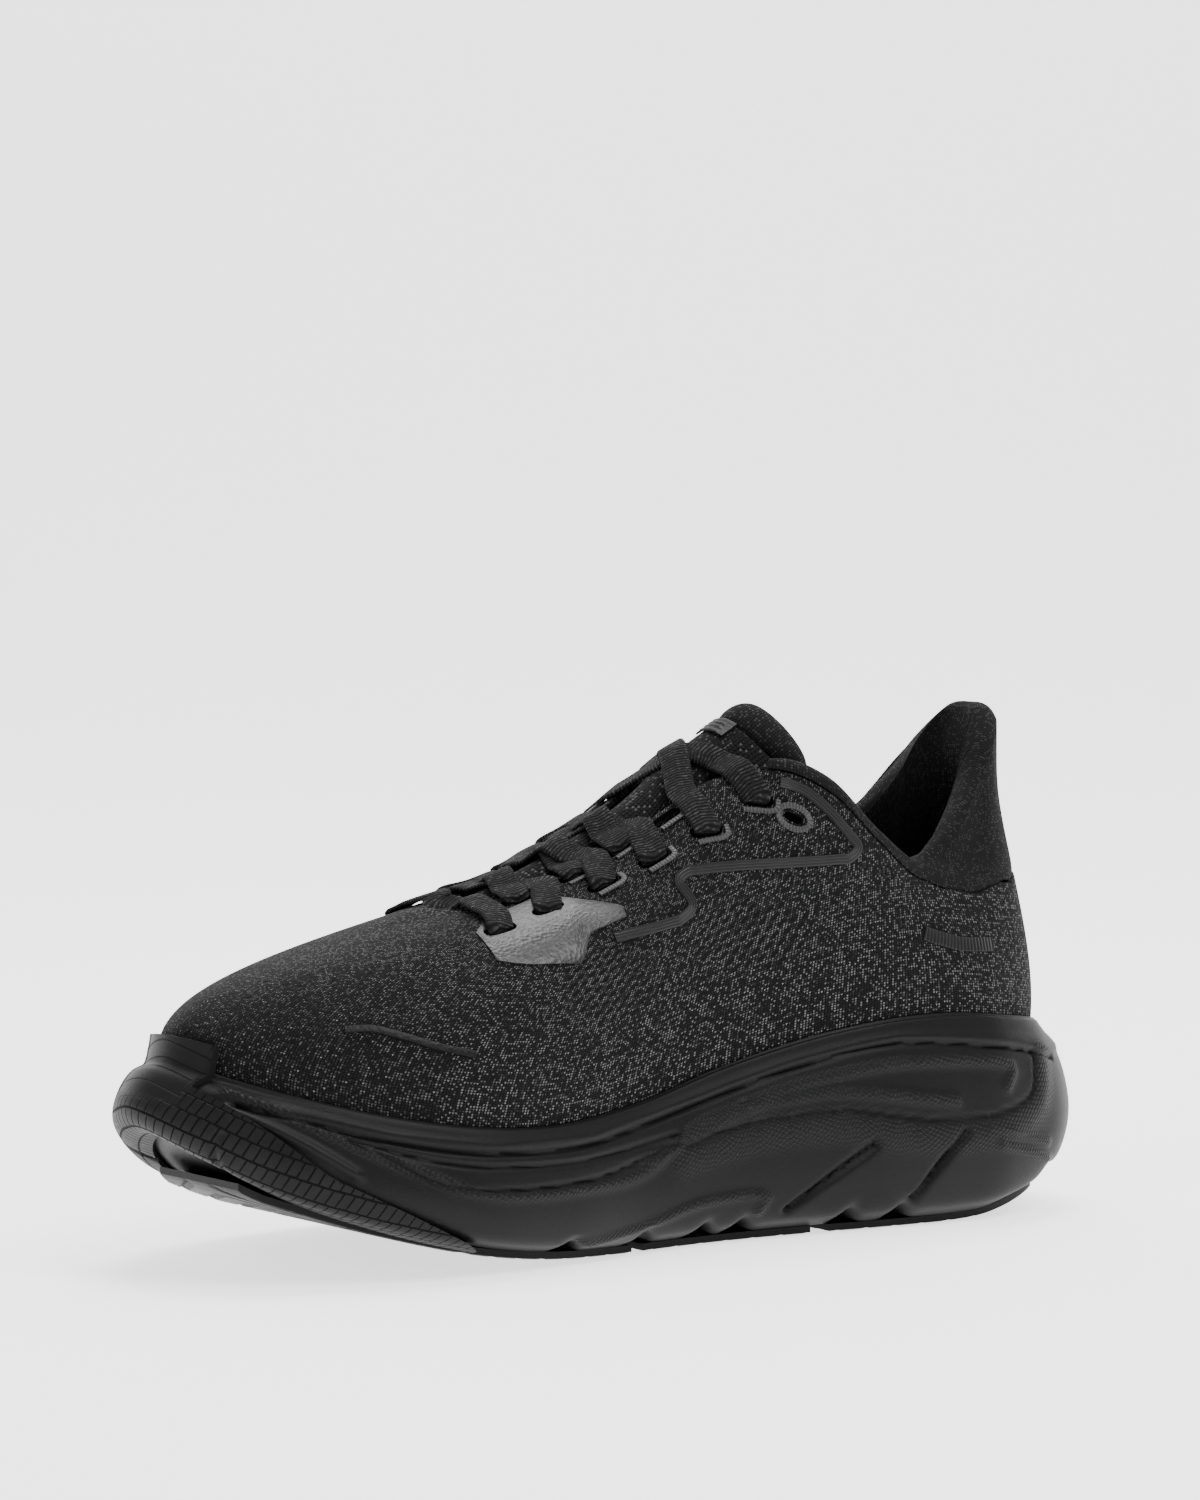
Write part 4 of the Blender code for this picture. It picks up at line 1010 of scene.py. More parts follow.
def lace_skin(points, faces, gathers, width, thick, step):
    """Skin of the flat lace along its route, with the points of its two ends."""
    coarse = LACE_STEP
    counts = np.maximum(1, np.round(np.linalg.norm(np.diff(points, axis=0), axis=1) / coarse))
    known = np.concatenate([[0], np.cumsum(counts)])
    rough = smooth_path(points, coarse)
    finer = max(1, round(coarse / step))
    path = smooth_path(rough, coarse / finer)
    run = lengths(rough[None], 1)[0]
    fine_run = lengths(path[None], 1)[0]
    place = np.interp(fine_run, run * fine_run[-1] / run[-1], range(len(rough)))
    looks = np.stack([np.interp(place, known, np.array(faces)[:, k]) for k in range(3)], 1)
    gather = np.interp(place, known, gathers)
    direction = frames(path)
    turn = 1 - 0.4 ** (step / coarse)
    sideways = np.cross(looks[0], direction[0])
    across = []
    for way, look in zip(direction, looks, strict=True):
        sideways = sideways - way * np.dot(sideways, way)
        sideways /= np.linalg.norm(sideways)
        flat = np.cross(look, way)
        strength = np.linalg.norm(flat)
        if strength > 0.6:
            flat *= np.sign(np.dot(flat, sideways)) / strength
            sideways = sideways * (1 - turn) + flat * turn
            sideways /= np.linalg.norm(sideways)
        across.append(sideways)
    across = np.array(across)
    out = np.cross(across, direction)
    wide = width + (BUNCH_WIDTH - width) * gather
    half = (thick + (BUNCH - thick) * gather) / 2
    skin = strip(path, across, out, wide, 0 * half, half, LACE_PROFILE)
    return skin, (path[0], -direction[0]), (path[-1], direction[-1])


# ---------------------------------------------------------------- settings


def size(name, description, default):
    return FloatProperty(name=name, description=description, default=default, unit="LENGTH")


def colour(name, description, default):
    return FloatVectorProperty(name=name, description=description, default=default, subtype="COLOR", size=3)


class ShoeColours(bpy.types.PropertyGroup):
    """Colours of the shoe's materials."""

    foam: colour("Foam", "Colour of the foam sole", (0.0036, 0.0036, 0.004))
    rubber: colour("Rubber", "Colour of the treaded rubber", (0.005, 0.005, 0.0052))
    yarn: colour("Yarn", "Colour of the knit's ground yarn", (0.0028, 0.0028, 0.003))
    speck: colour("Speck", "Colour of the knit's bright stitches", (0.15, 0.15, 0.15))
    mesh: colour("Collar mesh", "Colour of the collar's mesh", (0.0035, 0.0035, 0.0037))
    lace: colour("Lace", "Colour of the lace", (0.0035, 0.0035, 0.0037))
    film: colour("Film", "Colour of the line round the collar", (0.012, 0.012, 0.0125))
    silver: colour("Silver", "Colour of the reflective trims", (0.05, 0.05, 0.05))


class ShoeSizes(bpy.types.PropertyGroup):
    """Sizes of the fine detail on the shoe."""

    column: size("Knit column", "Width of one column of knit stitches", 0.00085)
    course: size("Knit row", "Height of one row of knit stitches", 0.0007)
    rib: size("Lace rib", "Distance between the ribs across the lace", 0.0011)
    block_up: size("Tread row", "Height of one row of blocks on the toe rubber", 0.0042)
    block_along: size("Tread column", "Width of one block on the toe rubber", 0.0028)
    cut_depth: size("Foam cut", "Depth of the thin lines cut in the foam", 0.0009)
    swelling: size("Swelling", "How far padded pieces may swell", 0.0014)


class ShoeStage(bpy.types.PropertyGroup):
    """Floor, lights and camera."""

    floor: colour("Floor", "Colour of the floor and backdrop", (0.86, 0.86, 0.86))
    key: FloatProperty(name="Main light", description="Power of the main light", default=30.0, unit="POWER")
    fill: FloatProperty(name="Fill light", description="Power of the fill light", default=10.0, unit="POWER")
    sky: FloatProperty(name="Sky", description="Strength of the even light", default=0.3)
    glow: FloatProperty(name="Glow", description="Light that the backdrop gives off", default=1.6)


def colours():
    return bpy.context.scene.shoe_colours


def sizes():
    return bpy.context.scene.shoe_sizes


# ---------------------------------------------------------------- materials


def foam_look():
    shade = Shade("midsole foam", colours().foam, 0.5, specular_ior_level=0.13)
    point = shade.node("ShaderNodeTexCoord", (), (), "Object")
    along_it, up = shade.layout()
    fine = shade.noise(point, 1400.0, 3.0)
    broad = shade.noise(point, 30.0)
    grain = shade.node("ShaderNodeAttribute", {"attribute_name": "grain"}, (), "Fac")
    dark = shade.node("ShaderNodeAttribute", {"attribute_name": "dark"}, (), "Fac")
    dimple = shade.sine(along_it + up * 1.1, 1.7) * shade.sine(along_it * 0.35 - up, 1.3)
    # Lighter copy of the foam colour: random tone from the noise, and a painted highlight on the dimple
    # crests of the grained bands.
    lit = [channel * 2.2 for channel in colours().foam]
    # Painted shade: the cut lines, marked by the dark mask, are darkened towards this colour.
    deep = [channel * 0.2 for channel in colours().foam]
    face = shade.mix(broad * 0.3 + fine * 0.2 + grain * dimple * 1.5, colours().foam, lit)
    shade.put(
        base_color=shade.mix(dark * 0.9, face, deep),
        roughness=0.36 + broad * 0.12 + fine * 0.12,
    )
    shade.relief(fine * 0.25 + grain * dimple, 0.28)
    return shade.material


def rubber_look(name="outsole rubber"):
    shade = Shade(name, colours().rubber, 0.45, specular_ior_level=0.08)
    point = shade.node("ShaderNodeTexCoord", (), (), "Object")
    fine = shade.noise(point, 1600.0, 3.0)
    broad = shade.noise(point, 45.0)
    lit = [channel * 1.9 for channel in colours().rubber]
    shade.put(base_color=shade.mix(broad, colours().rubber, lit), roughness=0.34 + fine * 0.22)
    shade.relief(fine, 0.05)
    return shade.material


def tread_look():
    """Rubber with small blocks in rows round the toe."""
    shade = Shade("toe rubber", colours().rubber, 0.42, specular_ior_level=0.08)
    along_it, up = shade.layout()
    point = shade.node("ShaderNodeTexCoord", (), (), "Object")
    fine = shade.noise(point, 1600.0, 3.0)
    wave = shade.noise(point, 60.0)
    row, column = sizes().block_up / MM, sizes().block_along / MM
    height = up + wave * 0.8
    gap_up = shade.maths("PINGPONG", height, row / 2)
    number = shade.maths("FLOOR", height / row)
    shifted = along_it + height * 0.55 + shade.maths("MODULO", number, 2.0) * (column / 2)
    gap_along = shade.maths("PINGPONG", shifted, column / 2)
    tread_mask = shade.node("ShaderNodeAttribute", {"attribute_name": "tread"}, (), "Fac")
    groove = shade.smooth(gap_up, 0.34, 0.08)
    groove = shade.maths("MAXIMUM", groove, shade.smooth(gap_along, 0.26, 0.06)) * tread_mask
    hem = shade.smooth(shade.maths("PINGPONG", up, 2.4), 0.3, 0.05) * (1.0 - tread_mask)
    groove = shade.maths("MAXIMUM", groove, hem * 0.6)
    lit = [channel * 2.6 for channel in colours().rubber]
    # Painted shade: the grooves between the tread blocks and the lines of the hem are darkened towards this
    # colour.
    dark = [channel * 0.3 for channel in colours().rubber]
    face = shade.mix(wave, colours().rubber, lit)
    shade.put(base_color=shade.mix(groove, face, dark), roughness=0.36 + fine * 0.2 + groove * 0.3)
    shade.relief(1.0 - groove + fine * 0.08, 0.7)
    return shade.material


def stitches(shade, along_it, up, column, row):
    """Height of knit stitches, and a number of chance for each stitch."""
    lean = shade.maths("PINGPONG", along_it, column / 2)
    course = (up + lean * 0.8) / row
    wale = along_it / column
    across = shade.maths("FRACT", wale) - 0.5
    rise = shade.maths("FRACT", course) - 0.5
    cell = shade.vector(shade.maths("FLOOR", wale), shade.maths("FLOOR", course))
    bulge = 1.0 - (across * 2) ** 2 * 0.9 - (rise * 2) ** 2 * 0.75
    return shade.maths("MAXIMUM", bulge, 0.0), shade.chance(cell)


def knit_look():
    """Engineered knit: dark ground, bright stitches in curved rows and two fields of small holes."""
    shade = Shade("engineered knit", colours().yarn, 0.8)
    along_it, up = shade.layout()
    x, y, z = shade.place()
    crown = shade.node("ShaderNodeAttribute", {"attribute_name": "crown"}, (), "Fac")
    pick = shade.smooth(crown, 0.49, 0.51)
    along_it = along_it * (1.0 - pick) + (y + 90.0) * pick
    up = up * (1.0 - pick) + (x + 200.0) * pick
    column, row = sizes().column / MM, sizes().course / MM
    bulge, luck = stitches(shade, along_it, up, column, row)
    point = shade.vector(along_it, up)
    cloud = shade.noise(point, 0.09, 3.0)
    shift = shade.noise(point, 0.5, 2.0)
    toe = shade.smooth(x, 62.0, 112.0) * shade.smooth(z, 92.0, 66.0)
    twill = shade.sine(along_it * 0.75 + up * 1.3, 3.0) * shade.sine(along_it * 0.4 - up * 1.2, 2.6)
    vent = 0.0
    for (mid_x, mid_z), (reach_x, reach_z) in VENTS:
        middle = (mid_x + SHIFT[0] / MM, mid_z)
        vent = ellipse(shade, (x, z), middle, (reach_x, reach_z)) + vent
    odds = 0.5 + cloud * 0.3 + (shift - 0.5) * 0.2 + vent * 0.25
    bright = shade.smooth(luck, 1.0 - odds, 1.5 - odds)
    ordered = shade.smooth(twill, 0.4, 0.8) * shade.smooth(luck, 0.2, 1.0)
    bright = bright * (1.0 - toe * 0.7) + ordered * toe
    tuft = shade.smooth(bulge, 0.35, 0.95)
    grid_a = shade.maths("PINGPONG", along_it + up * 0.5, 1.9)
    grid_b = shade.maths("PINGPONG", up, 1.4)
    patch = shade.noise(point, 0.16, 1.0)
    field = shade.smooth(vent + (patch - 0.5) * 1.6, 0.22, 0.34)
    hole = shade.smooth(grid_a**2 + grid_b**2, 1.5, 0.8) * field
    bright = bright * tuft * (1.0 - hole)
    # Painted shade and highlight: the yarn is darker between the stitches and in the small holes, and
    # lighter on the stitch tops.
    dark = [channel * 0.3 for channel in colours().yarn]
    ground = shade.mix(tuft * (1.0 - hole), dark, [channel * 1.8 for channel in colours().yarn])
    glow = bright * (0.2 + luck * luck * 0.8) + vent * tuft * (1.0 - hole) * 0.1
    shade.put(
        base_color=shade.mix(glow, ground, colours().speck),
        roughness=0.88 - glow * 0.35,
    )
    shade.relief(bulge * (1.0 - hole) * 0.8 + bright * 0.3 - hole * 0.8, 0.32)
    return shade.material


def cloth_look(name, base, column, row, sparkle=0.1, speck=None, depth=0.2):
    """Fine mesh or weave with a few bright stitches."""
    shade = Shade(name, base, 0.85)
    along_it, up = shade.layout()
    bulge, luck = stitches(shade, along_it, up, column, row)
    cloud = shade.noise(shade.vector(along_it, up), 0.12, 3.0)
    bright = shade.smooth(luck, 1.0 - sparkle, 1.04 - sparkle) * shade.smooth(bulge, 0.3, 0.9)
    # Painted shade and highlight: the ground is darker between the stitches and lighter on their tops; the
    # cloud adds random tone.
    dark = [channel * 0.35 for channel in base]
    lit = [channel * 1.7 for channel in base]
    ground = shade.mix(shade.smooth(bulge, 0.1, 0.9) * (0.6 + cloud * 0.6), dark, lit)
    shade.put(
        base_color=shade.mix(bright * 0.7, ground, speck or [channel * 8 for channel in base]),
        roughness=0.9 - bright * 0.3,
    )
    shade.relief(bulge, depth)
    return shade.material


def lace_look():
    """Flat braid with ribs across it."""
    shade = Shade("ribbed lace", colours().lace, 0.75)
    along_it, across = shade.layout()
    pitch = sizes().rib / MM
    wiggle = shade.noise(shade.vector(along_it, across), 0.9) * 0.5
    rib = shade.sine(along_it + wiggle + shade.maths("ABSOLUTE", across - 20) * 0.25, pitch)
    strand = shade.sine(across, 0.75)
    cell = [shade.maths("FLOOR", place) for place in (along_it / pitch, across / 0.75)]
    luck = shade.chance(shade.vector(*cell))
    # Painted highlight: glints on random threads at the rib tops.
    bright = shade.smooth(luck, 0.5, 1.0) * shade.smooth(rib, 0.5, 0.95)
    # Painted shade and highlight: the braid is darker between the ribs and lighter on their tops.
    dark = [channel * 0.15 for channel in colours().lace]
    lit = [channel * 4.0 for channel in colours().lace]
    ground = shade.mix(rib * (0.6 + strand * 0.4), dark, lit)
    shade.put(base_color=shade.mix(bright * 0.25, ground, (0.1, 0.1, 0.1)), roughness=0.85 - bright * 0.3)
    shade.relief(rib * 0.8 + strand * rib * 0.3, 0.35)
    return shade.material


def film_look(name, base, roughness, metallic=0.0, lines=0.0):
    """Film with fine lines or a hammered grain."""
    shade = Shade(name, base, roughness, metallic=metallic)
    along_it, across = shade.layout()
    point = shade.vector(along_it, across)
    grain = shade.node("ShaderNodeTexVoronoi", (), {"Vector": point, "Scale": 0.9})
    cloud = shade.noise(point, 0.25, 3.0)
    pattern = shade.sine(across if lines > 0 else along_it, abs(lines) or 1.0) if lines else grain
    # Painted highlight: the film is lighter on its raised lines or grain; the cloud adds random tone.
    dark = [channel * 0.45 for channel in base]
    lit = [channel * 1.35 for channel in base]
    shade.put(
        base_color=shade.mix(pattern * 0.5 + cloud * 0.5, dark, lit),
        roughness=roughness + cloud * 0.2 - 0.1,
    )
    shade.relief(pattern, 0.12)
    return shade.material


def plain_look(name, base, roughness, scale, depth):
    """Hidden stuff: board, stiffener or bare foam with its own grain."""
    shade = Shade(name, base, roughness)
    point = shade.node("ShaderNodeTexCoord", (), (), "Object")
    grain = shade.noise(point, scale, 4.0)
    dark = [channel * 0.8 for channel in base]
    lit = [min(1.0, channel * 1.2) for channel in base]
    shade.put(base_color=shade.mix(grain, dark, lit), roughness=roughness - 0.1 + grain * 0.15)
    shade.relief(grain, depth)
    return shade.material


# ---------------------------------------------------------------- pieces

FOAM_COLUMNS = TURN * 24
FOAM_ROWS = 110
KNIT_COLUMNS = TURN * 14
COLLAR_COLUMNS = 130


def groove(points, line, reach):
    """1 on a line and 0 from reach away, rounded."""
    far = distance_to(points, line)
    return np.exp(-((far / reach) ** 2) * 2)


def sculpt(points, height):
    """How far the foam's wall stands out at (x, z) points, and where it carries the fine grain."""
    cut_depth = sizes().cut_depth / MM
    relief = np.zeros(points.shape[:-1])
    grain = np.zeros(points.shape[:-1])
    # dark marks the cut lines, where the foam's colour gets painted shade.
    dark = np.zeros(points.shape[:-1])
    for line, deep, reach in [(cut, cut_depth, 0.9) for cut in CUTS] + [
        (BAND_EDGE, 0.7, 0.9),
        (RIM_CREASE, 1.1, 1.0),
        *((cut, 1.9, 1.4) for cut in DEEP_CUTS),
    ]:
        mark = groove(points, line, reach)
        relief -= deep * mark
        dark = np.maximum(dark, mark)
    for line in RIDGES:
        ridge = groove(points, line, 1.9)
        relief += 0.7 * ridge
        grain = np.maximum(grain, ridge)
    belt = groove(points, BAND, 5.5)
    relief += 0.9 * belt
    grain = np.maximum(grain, np.clip(belt * 1.4, 0, 1))
    relief += 1.3 * groove(points, TOE_BAR, 1.9)
    crease = np.array(RIM_CREASE)[::-1]
    above = points[..., 1] - np.interp(points[..., 0], crease[:, 0], crease[:, 1])
    relief += 0.7 * np.clip(above / 2.0, 0, 1) * np.clip((6 - above) / 4, 0, 1)
    wall = np.clip(height / 0.06, 0, 1) * np.clip((0.97 - height) / 0.05, 0, 1)
    return relief * wall, grain * wall * (1 - dark), dark * wall


def set_mask(thing, name, values):
    made = thing.data.attributes.new(name, "FLOAT", "POINT")
    made.data.foreach_set("value", np.asarray(values, float).ravel())


def foam_wall(t, rows):
    """Fine rings of the foam with its sculpted wall, and the grain mask."""
    rings = resample(foam_rings(t), rows)
    low = (tread(t) + RUBBER + GAP)[None]
    tall = value(RIM, t)[None] - low
    height = (rings[..., 2] - low) / tall
    row = np.linspace(0, 10, rows)[:, None]
    outside = np.where(row <= 7.2, 1.0, 0.0)
    relief, grain, dark = sculpt(rings[..., (0, 2)], height)
    out = normals(rings, True)
    flat = out[..., :2]
    centre = rings.mean(axis=(0, 1))
    away = (rings - centre)[..., :2]
    turn = np.sign((flat * away).sum(-1, keepdims=True))
    out = np.where(turn[rows // 3 : rows // 3 + 1] < 0, -out, out)
    arch = np.zeros_like(height)
    for x in SCALLOPS:
        arch = np.maximum(arch, np.exp(-(((rings[..., 0] - x) / 3.2) ** 2)))
    rings = rings + out * (relief * outside)[..., None]
    rings[..., 2] += SCALLOP * arch * np.clip(1 - height / 0.16, 0, 1) * outside
    return rings, grain * outside, dark * outside


def build_midsole():
    t = np.arange(FOAM_COLUMNS) * TURN / FOAM_COLUMNS
    rings, grain, dark = foam_wall(t, FOAM_ROWS)
    vertices, faces, places = loft(rings)
    piece = new_piece("foam_sole", vertices, faces, foam_look(), places=places, angle=60)
    set_mask(piece, "grain", grain)
    # The dark mask paints shade into the foam's cut lines.
    set_mask(piece, "dark", dark)
    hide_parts("midsole")


def build_toe_rubber():
    t = np.linspace(TOE - 4, TOE + 4, 300)
    hem = np.array([layer(t, v, BUMPER / 2 + 0 * t) for v in (0.05, 0.12)])
    base = np.concatenate([foam_rings(t)[:7], hem])
    base = resample(base, 110)
    out = normals(base)
    out *= np.sign(out[60, len(t) // 2, 0])
    low = value(RIM, t)[None] + 0 * base[..., 2]
    flap = np.clip((16 - np.abs(base[..., 1])) / 1.5, 0, 1) * np.clip((base[..., 2] - low + 10) / 2, 0, 1)
    flex = np.zeros(base.shape[:2])
    for start, end in (((14, 2), (26, 40)), ((-14, 2), (-26, 40)), ((0, 2), (0, 30))):
        line = np.array((start, end), float)
        far = distance_to(base[..., (1, 2)], line)
        flex = np.maximum(flex, np.exp(-((far / 0.9) ** 2)))
    depth = 0.8 * flex * (1 - flap)
    top = base + out * (1.5 * GAP + BUMPER - depth - 0.5 * flap)[..., None]
    vertices, faces = shell(top, base + out * 1.5 * GAP)
    places = both_faces(base)
    look = tread_look()
    piece = new_piece("toe_rubber", vertices, faces, look, places=places)
    set_mask(piece, "tread", np.tile((1 - flap).ravel(), 2))
    corners = [(x * SCALE[0], z * SCALE[2]) for x, z in rounded(BUMPER_EDGE)]
    count = len(corners)
    faces = [(k, (k + 1) % count, count + (k + 1) % count, count + k) for k in range(count)]
    faces += [tuple(range(count)), tuple(range(2 * count - 1, count - 1, -1))]
    waste = []
    for side in SIDES.values():
        ends = [side * y * SCALE[1] for y in (BUMPER_FLAP, 90)]
        points = np.array([(x, y, z) for y in ends for x, z in corners])
        waste.append((points, faces, np.zeros((2 * count, 2))))
    cutter = cutter_of(*merge(waste)[:2], look)
    cut(piece, cutter)
    bpy.data.objects.remove(cutter, do_unlink=True)
    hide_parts("toe_bumper")


def rounded(corners):
    """A closed outline with each corner cut to a soft turn."""
    out = []
    p = np.array(corners, float)
    for before, here, after in zip(np.roll(p, 1, 0), p, np.roll(p, -1, 0), strict=True):
        a, b = here + (before - here) * 0.12, here + (after - here) * 0.12
        out += [(1 - f) ** 2 * a + 2 * f * (1 - f) * here + f * f * b for f in (0.0, 0.33, 0.67, 1.0)]
    return out


def sole_half_width(x, side):
    t = np.linspace(0, TOE, 400)
    edge = outline(t if side == MEDIAL else TURN - t, np.full(t.shape, TREAD_INSET), 0.0)
    order = np.argsort(edge[:, 0])
    return np.interp(x, edge[order, 0], np.abs(edge[order, 1]))


def build_outsole():
    table = np.array([(row[0], row[5]) for row in SOLE], float)
    look = rubber_look()
    for name, (start, end, inner, outer) in PADS.items():
        x = np.linspace(start, end, round(end - start) + 1) * SCALE[0]
        widths = [sole_half_width(x, MEDIAL if s > 0 else LATERAL) * s for s in (inner, outer)]
        rows = max(6, round(np.abs(widths[1] - widths[0]).max()))
        y = np.linspace(widths[0], widths[1], rows)
        x = np.broadcast_to(x, y.shape)
        low = tread(np.interp(x, table[:, 0] * SCALE[0], range(len(SOLE))))
        chevron = np.abs(((x + np.abs(y) * 0.5) % 9.0) - 4.5)
        bars = np.clip((1.1 - chevron) / 0.6, 0, 1)
        rim = np.minimum(np.arange(rows), np.arange(rows)[::-1])[:, None]
        ends = np.minimum(np.arange(x.shape[1]), np.arange(x.shape[1])[::-1])[None]
        inside = np.clip(np.minimum(rim, ends) / 2, 0, 1)
        corner = np.clip(1 - np.minimum(rim, ends) / 1.0, 0, 1)
        bottom = np.stack([x, y, low + 1.1 * bars * inside + 0.35 * corner], -1)
        top = np.stack([x, y, low + RUBBER + 0 * y], -1)
        vertices, faces = shell(top, bottom)
        places = np.tile(np.stack([x, y], -1).reshape(-1, 2), (2, 1))
        piece = new_piece(f"{name}_rubber", vertices, faces, look, places=places)
        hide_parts(name)


def knit_rows(t, shares):
    top = heel_share(t, SEAM) - 0.004
    return np.array([share * top if share > 0 else share + 0 * top for share in shares])


def build_knit():
    t = np.arange(KNIT_COLUMNS) * TURN / KNIT_COLUMNS
    shares = np.concatenate([(-1, -0.5), np.linspace(0, 0.985, 60), (1.0,)])
    v = knit_rows(t, shares)
    t = np.broadcast_to(t, v.shape)
    front = layer(t, v, 0)
    back = layer(t, v, -KNIT)
    front[-1] = front[-1] * 0.75 + back[-1] * 0.25
    vertices, faces = shell(front, back, True)
    spread = layout(front, True)
    rise = spread[..., 1] - spread[2:3, :, 1]
    places = np.stack([spread[..., 0], rise + 40], -1).reshape(-1, 2)
    look = knit_look()
    piece = new_piece("knit_shell", vertices, faces, look, places=np.tile(places, (2, 1)), angle=50)
    spacing = np.linalg.norm(np.roll(front, -1, 1) - front, axis=-1)
    crown = np.clip((0.85 - spacing / spacing[len(front) // 2]) / 0.5, 0, 1)
    set_mask(piece, "crown", np.tile(crown.ravel(), 2))
    cutter = cutter_of(*holes(), look)
    cut(piece, cutter)
    bpy.data.objects.remove(cutter, do_unlink=True)
    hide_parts("upper_knit")


def collar_path(t):
    """Rows of points from the seam over the rolled top edge and down inside to the footbed."""
    rows = []
    seam = heel_share(t, SEAM)
    for share in (0, 0.5, 1):
        v = (seam + 0.004) * (1 - share) + share
        rows.append(layer(t, v, 0 * t))
    edge, out = upper(t, 1 + 0 * t), facing(t, 1 + 0 * t)
    rise = edge - upper(t, 0.98 + 0 * t)
    rise /= np.linalg.norm(rise, axis=-1, keepdims=True)
    half = lining_depth(t, 1 + 0 * t)[:, None] / 2
    for turn in np.radians((30, 60, 90, 120, 150)):
        rows.append(edge - out * half * (1 - math.cos(turn)) + rise * half * math.sin(turn))
    for v in (1.0, 0.8, 0.6, 0.4, 0.2, 0.03):
        v = v + 0 * t
        rows.append(layer(t, v, -lining_depth(t, v)))
    return np.array(rows)


def build_collar():
    t = np.linspace(-COLLAR_END, COLLAR_END, COLLAR_COLUMNS)
    path = resample(collar_path(t), 44)
    out = normals(path)
    back = path - out * SKIN
    puffed = swollen(path, back, (0, 1, -1), (0, -1), sizes().swelling / MM)
    vertices, faces = shell(puffed, back)
    places = both_faces(path)
    look = cloth_look("collar mesh", colours().mesh, 0.8, 0.8, 0.3, (0.025, 0.025, 0.025))
    piece = new_piece("collar_cloth", vertices, faces, look, places=places, swell=1)
    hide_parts("collar_lining")


def build_tongue():
    grid = tongue_grid(upper_tree())
    out = -normals(grid)
    out *= np.sign(out[len(grid) // 2, grid.shape[1] // 2, 2])
    thick = np.full(grid.shape[:2], TONGUE)
    thick[:, (0, -1)] = 1.6
    thick[:, (1, -2)] = 3.4
    thick[0] = np.minimum(thick[0], 2.0)
    inner = grid - out * thick[..., None]
    front, back = resample(grid[:-1], 40), resample(inner[:-1], 40)
    front = resample_across(front, 36)
    back = resample_across(back, 36)
    front = swollen(front, back, (0, -1), (0, -1), sizes().swelling / MM)
    vertices, faces = shell(front, back)
    places = both_faces(front)
    look = cloth_look("tongue knit", colours().yarn, 1.3, 1.2, 0.3, (0.06, 0.06, 0.06), 0.35)
    piece = new_piece("tongue_pad", vertices, faces, look, "tongue", places, 1)
    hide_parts("tongue_body")

    line = resample(grid[-1] + (grid[-2] - grid[-1]) * 0.35 - out[-1] * 2.2, 60)
    ahead = resample(grid[-1] - grid[-2], 60)
    ahead /= np.linalg.norm(ahead, axis=-1, keepdims=True)
    over = resample(out[-1], 60)
    over /= np.linalg.norm(over, axis=-1, keepdims=True)
    ends = np.sqrt(np.clip(1 - np.abs(np.linspace(-1, 1, 60)) ** 6, 0.05, 1))
    turns = np.linspace(0, 2 * math.pi, 24, endpoint=False)
    profile = [(math.cos(a), math.sin(a)) for a in turns]
    skin = strip(line, ahead, over, 11.5 * ends, 0 * ends, 3.6 * ends, profile)
    look = cloth_look("tongue binding", colours().mesh, 0.8, 0.8, 0.3, (0.025, 0.025, 0.025))
    piece = new_piece("tongue_roll", *skin[:2], look, "tongue", skin[2], 1)
    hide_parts("tongue_binding")

    cols = slice(5, 10)
    shares = np.array((0.35, 0.65, 0.95))[:, None, None]
    face = grid[-3, cols] * (1 - shares) + grid[-2, cols] * shares
    lift = out[-2, cols]
    face = resample(face, 12)
    face = resample_across(face, 21)
    lift = resample(lift, 21)
    u = np.linspace(-1, 1, 21)[None, :]
    w = np.linspace(0, 1, 12)[:, None]
    bars = np.clip(1.6 - np.abs((w * 4) % 1 - 0.5) * 6, 0, 1) * (np.abs(u) < 0.7)
    high = GAP + 0.6 + 0.25 * bars
    vertices, faces = shell(face + lift * high[..., None], face + lift * GAP)
    places = both_faces(face)
    look = film_look("label_film", (0.006, 0.006, 0.0062), 0.5)
    piece = new_piece("tongue_tab", vertices, faces, look, "tongue", places)
    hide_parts("tongue_label")


def build_lace():
    tree = upper_tree()
    tongue = surface_tree(tongue_grid(tree), False)
    halves = []
    for side in (MEDIAL, LATERAL):
        route = Route(tree, tongue)
        lace_half(route, side)
        halves.append(route)
    points = halves[0].points[:0:-1] + halves[1].points
    faces = halves[0].faces[:0:-1] + halves[1].faces
    gathers = halves[0].gathers[:0:-1] + halves[1].gathers
    skin, start, end = lace_skin(points, faces, gathers, BRAID_WIDTH, BRAID, 0.8)
    piece = new_piece("lace_braid", skin[0], skin[1], lace_look(), places=skin[2], angle=60)
    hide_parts("lace")
    look = film_look("lace tip", (0.02, 0.02, 0.02), 0.25)
    for name, (place, way) in zip(("lace_tip_lateral", "lace_tip_medial"), (start, end), strict=True):
        way = way / np.linalg.norm(way)
        beside = np.cross(way, (0.0, 0.0, 1.0))
        beside /= np.linalg.norm(beside)
        above = np.cross(beside, way)
        line = np.array([place + way * (GAP + f * TIP_LENGTH) for f in np.linspace(0, 1, 16)])
        round_profile = [(math.cos(a), math.sin(a)) for a in np.linspace(0, 2 * math.pi, 20, endpoint=False)]
        taper = np.concatenate([[2.9], np.full(13, 3.4), [3.2, 2.7]])
        tip = strip(line, np.tile(beside, (16, 1)), above, taper, 0 * taper, taper / 2, round_profile)
        piece = new_piece(f"{name}_end", *tip[:2], look, places=tip[2])
        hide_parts(name)


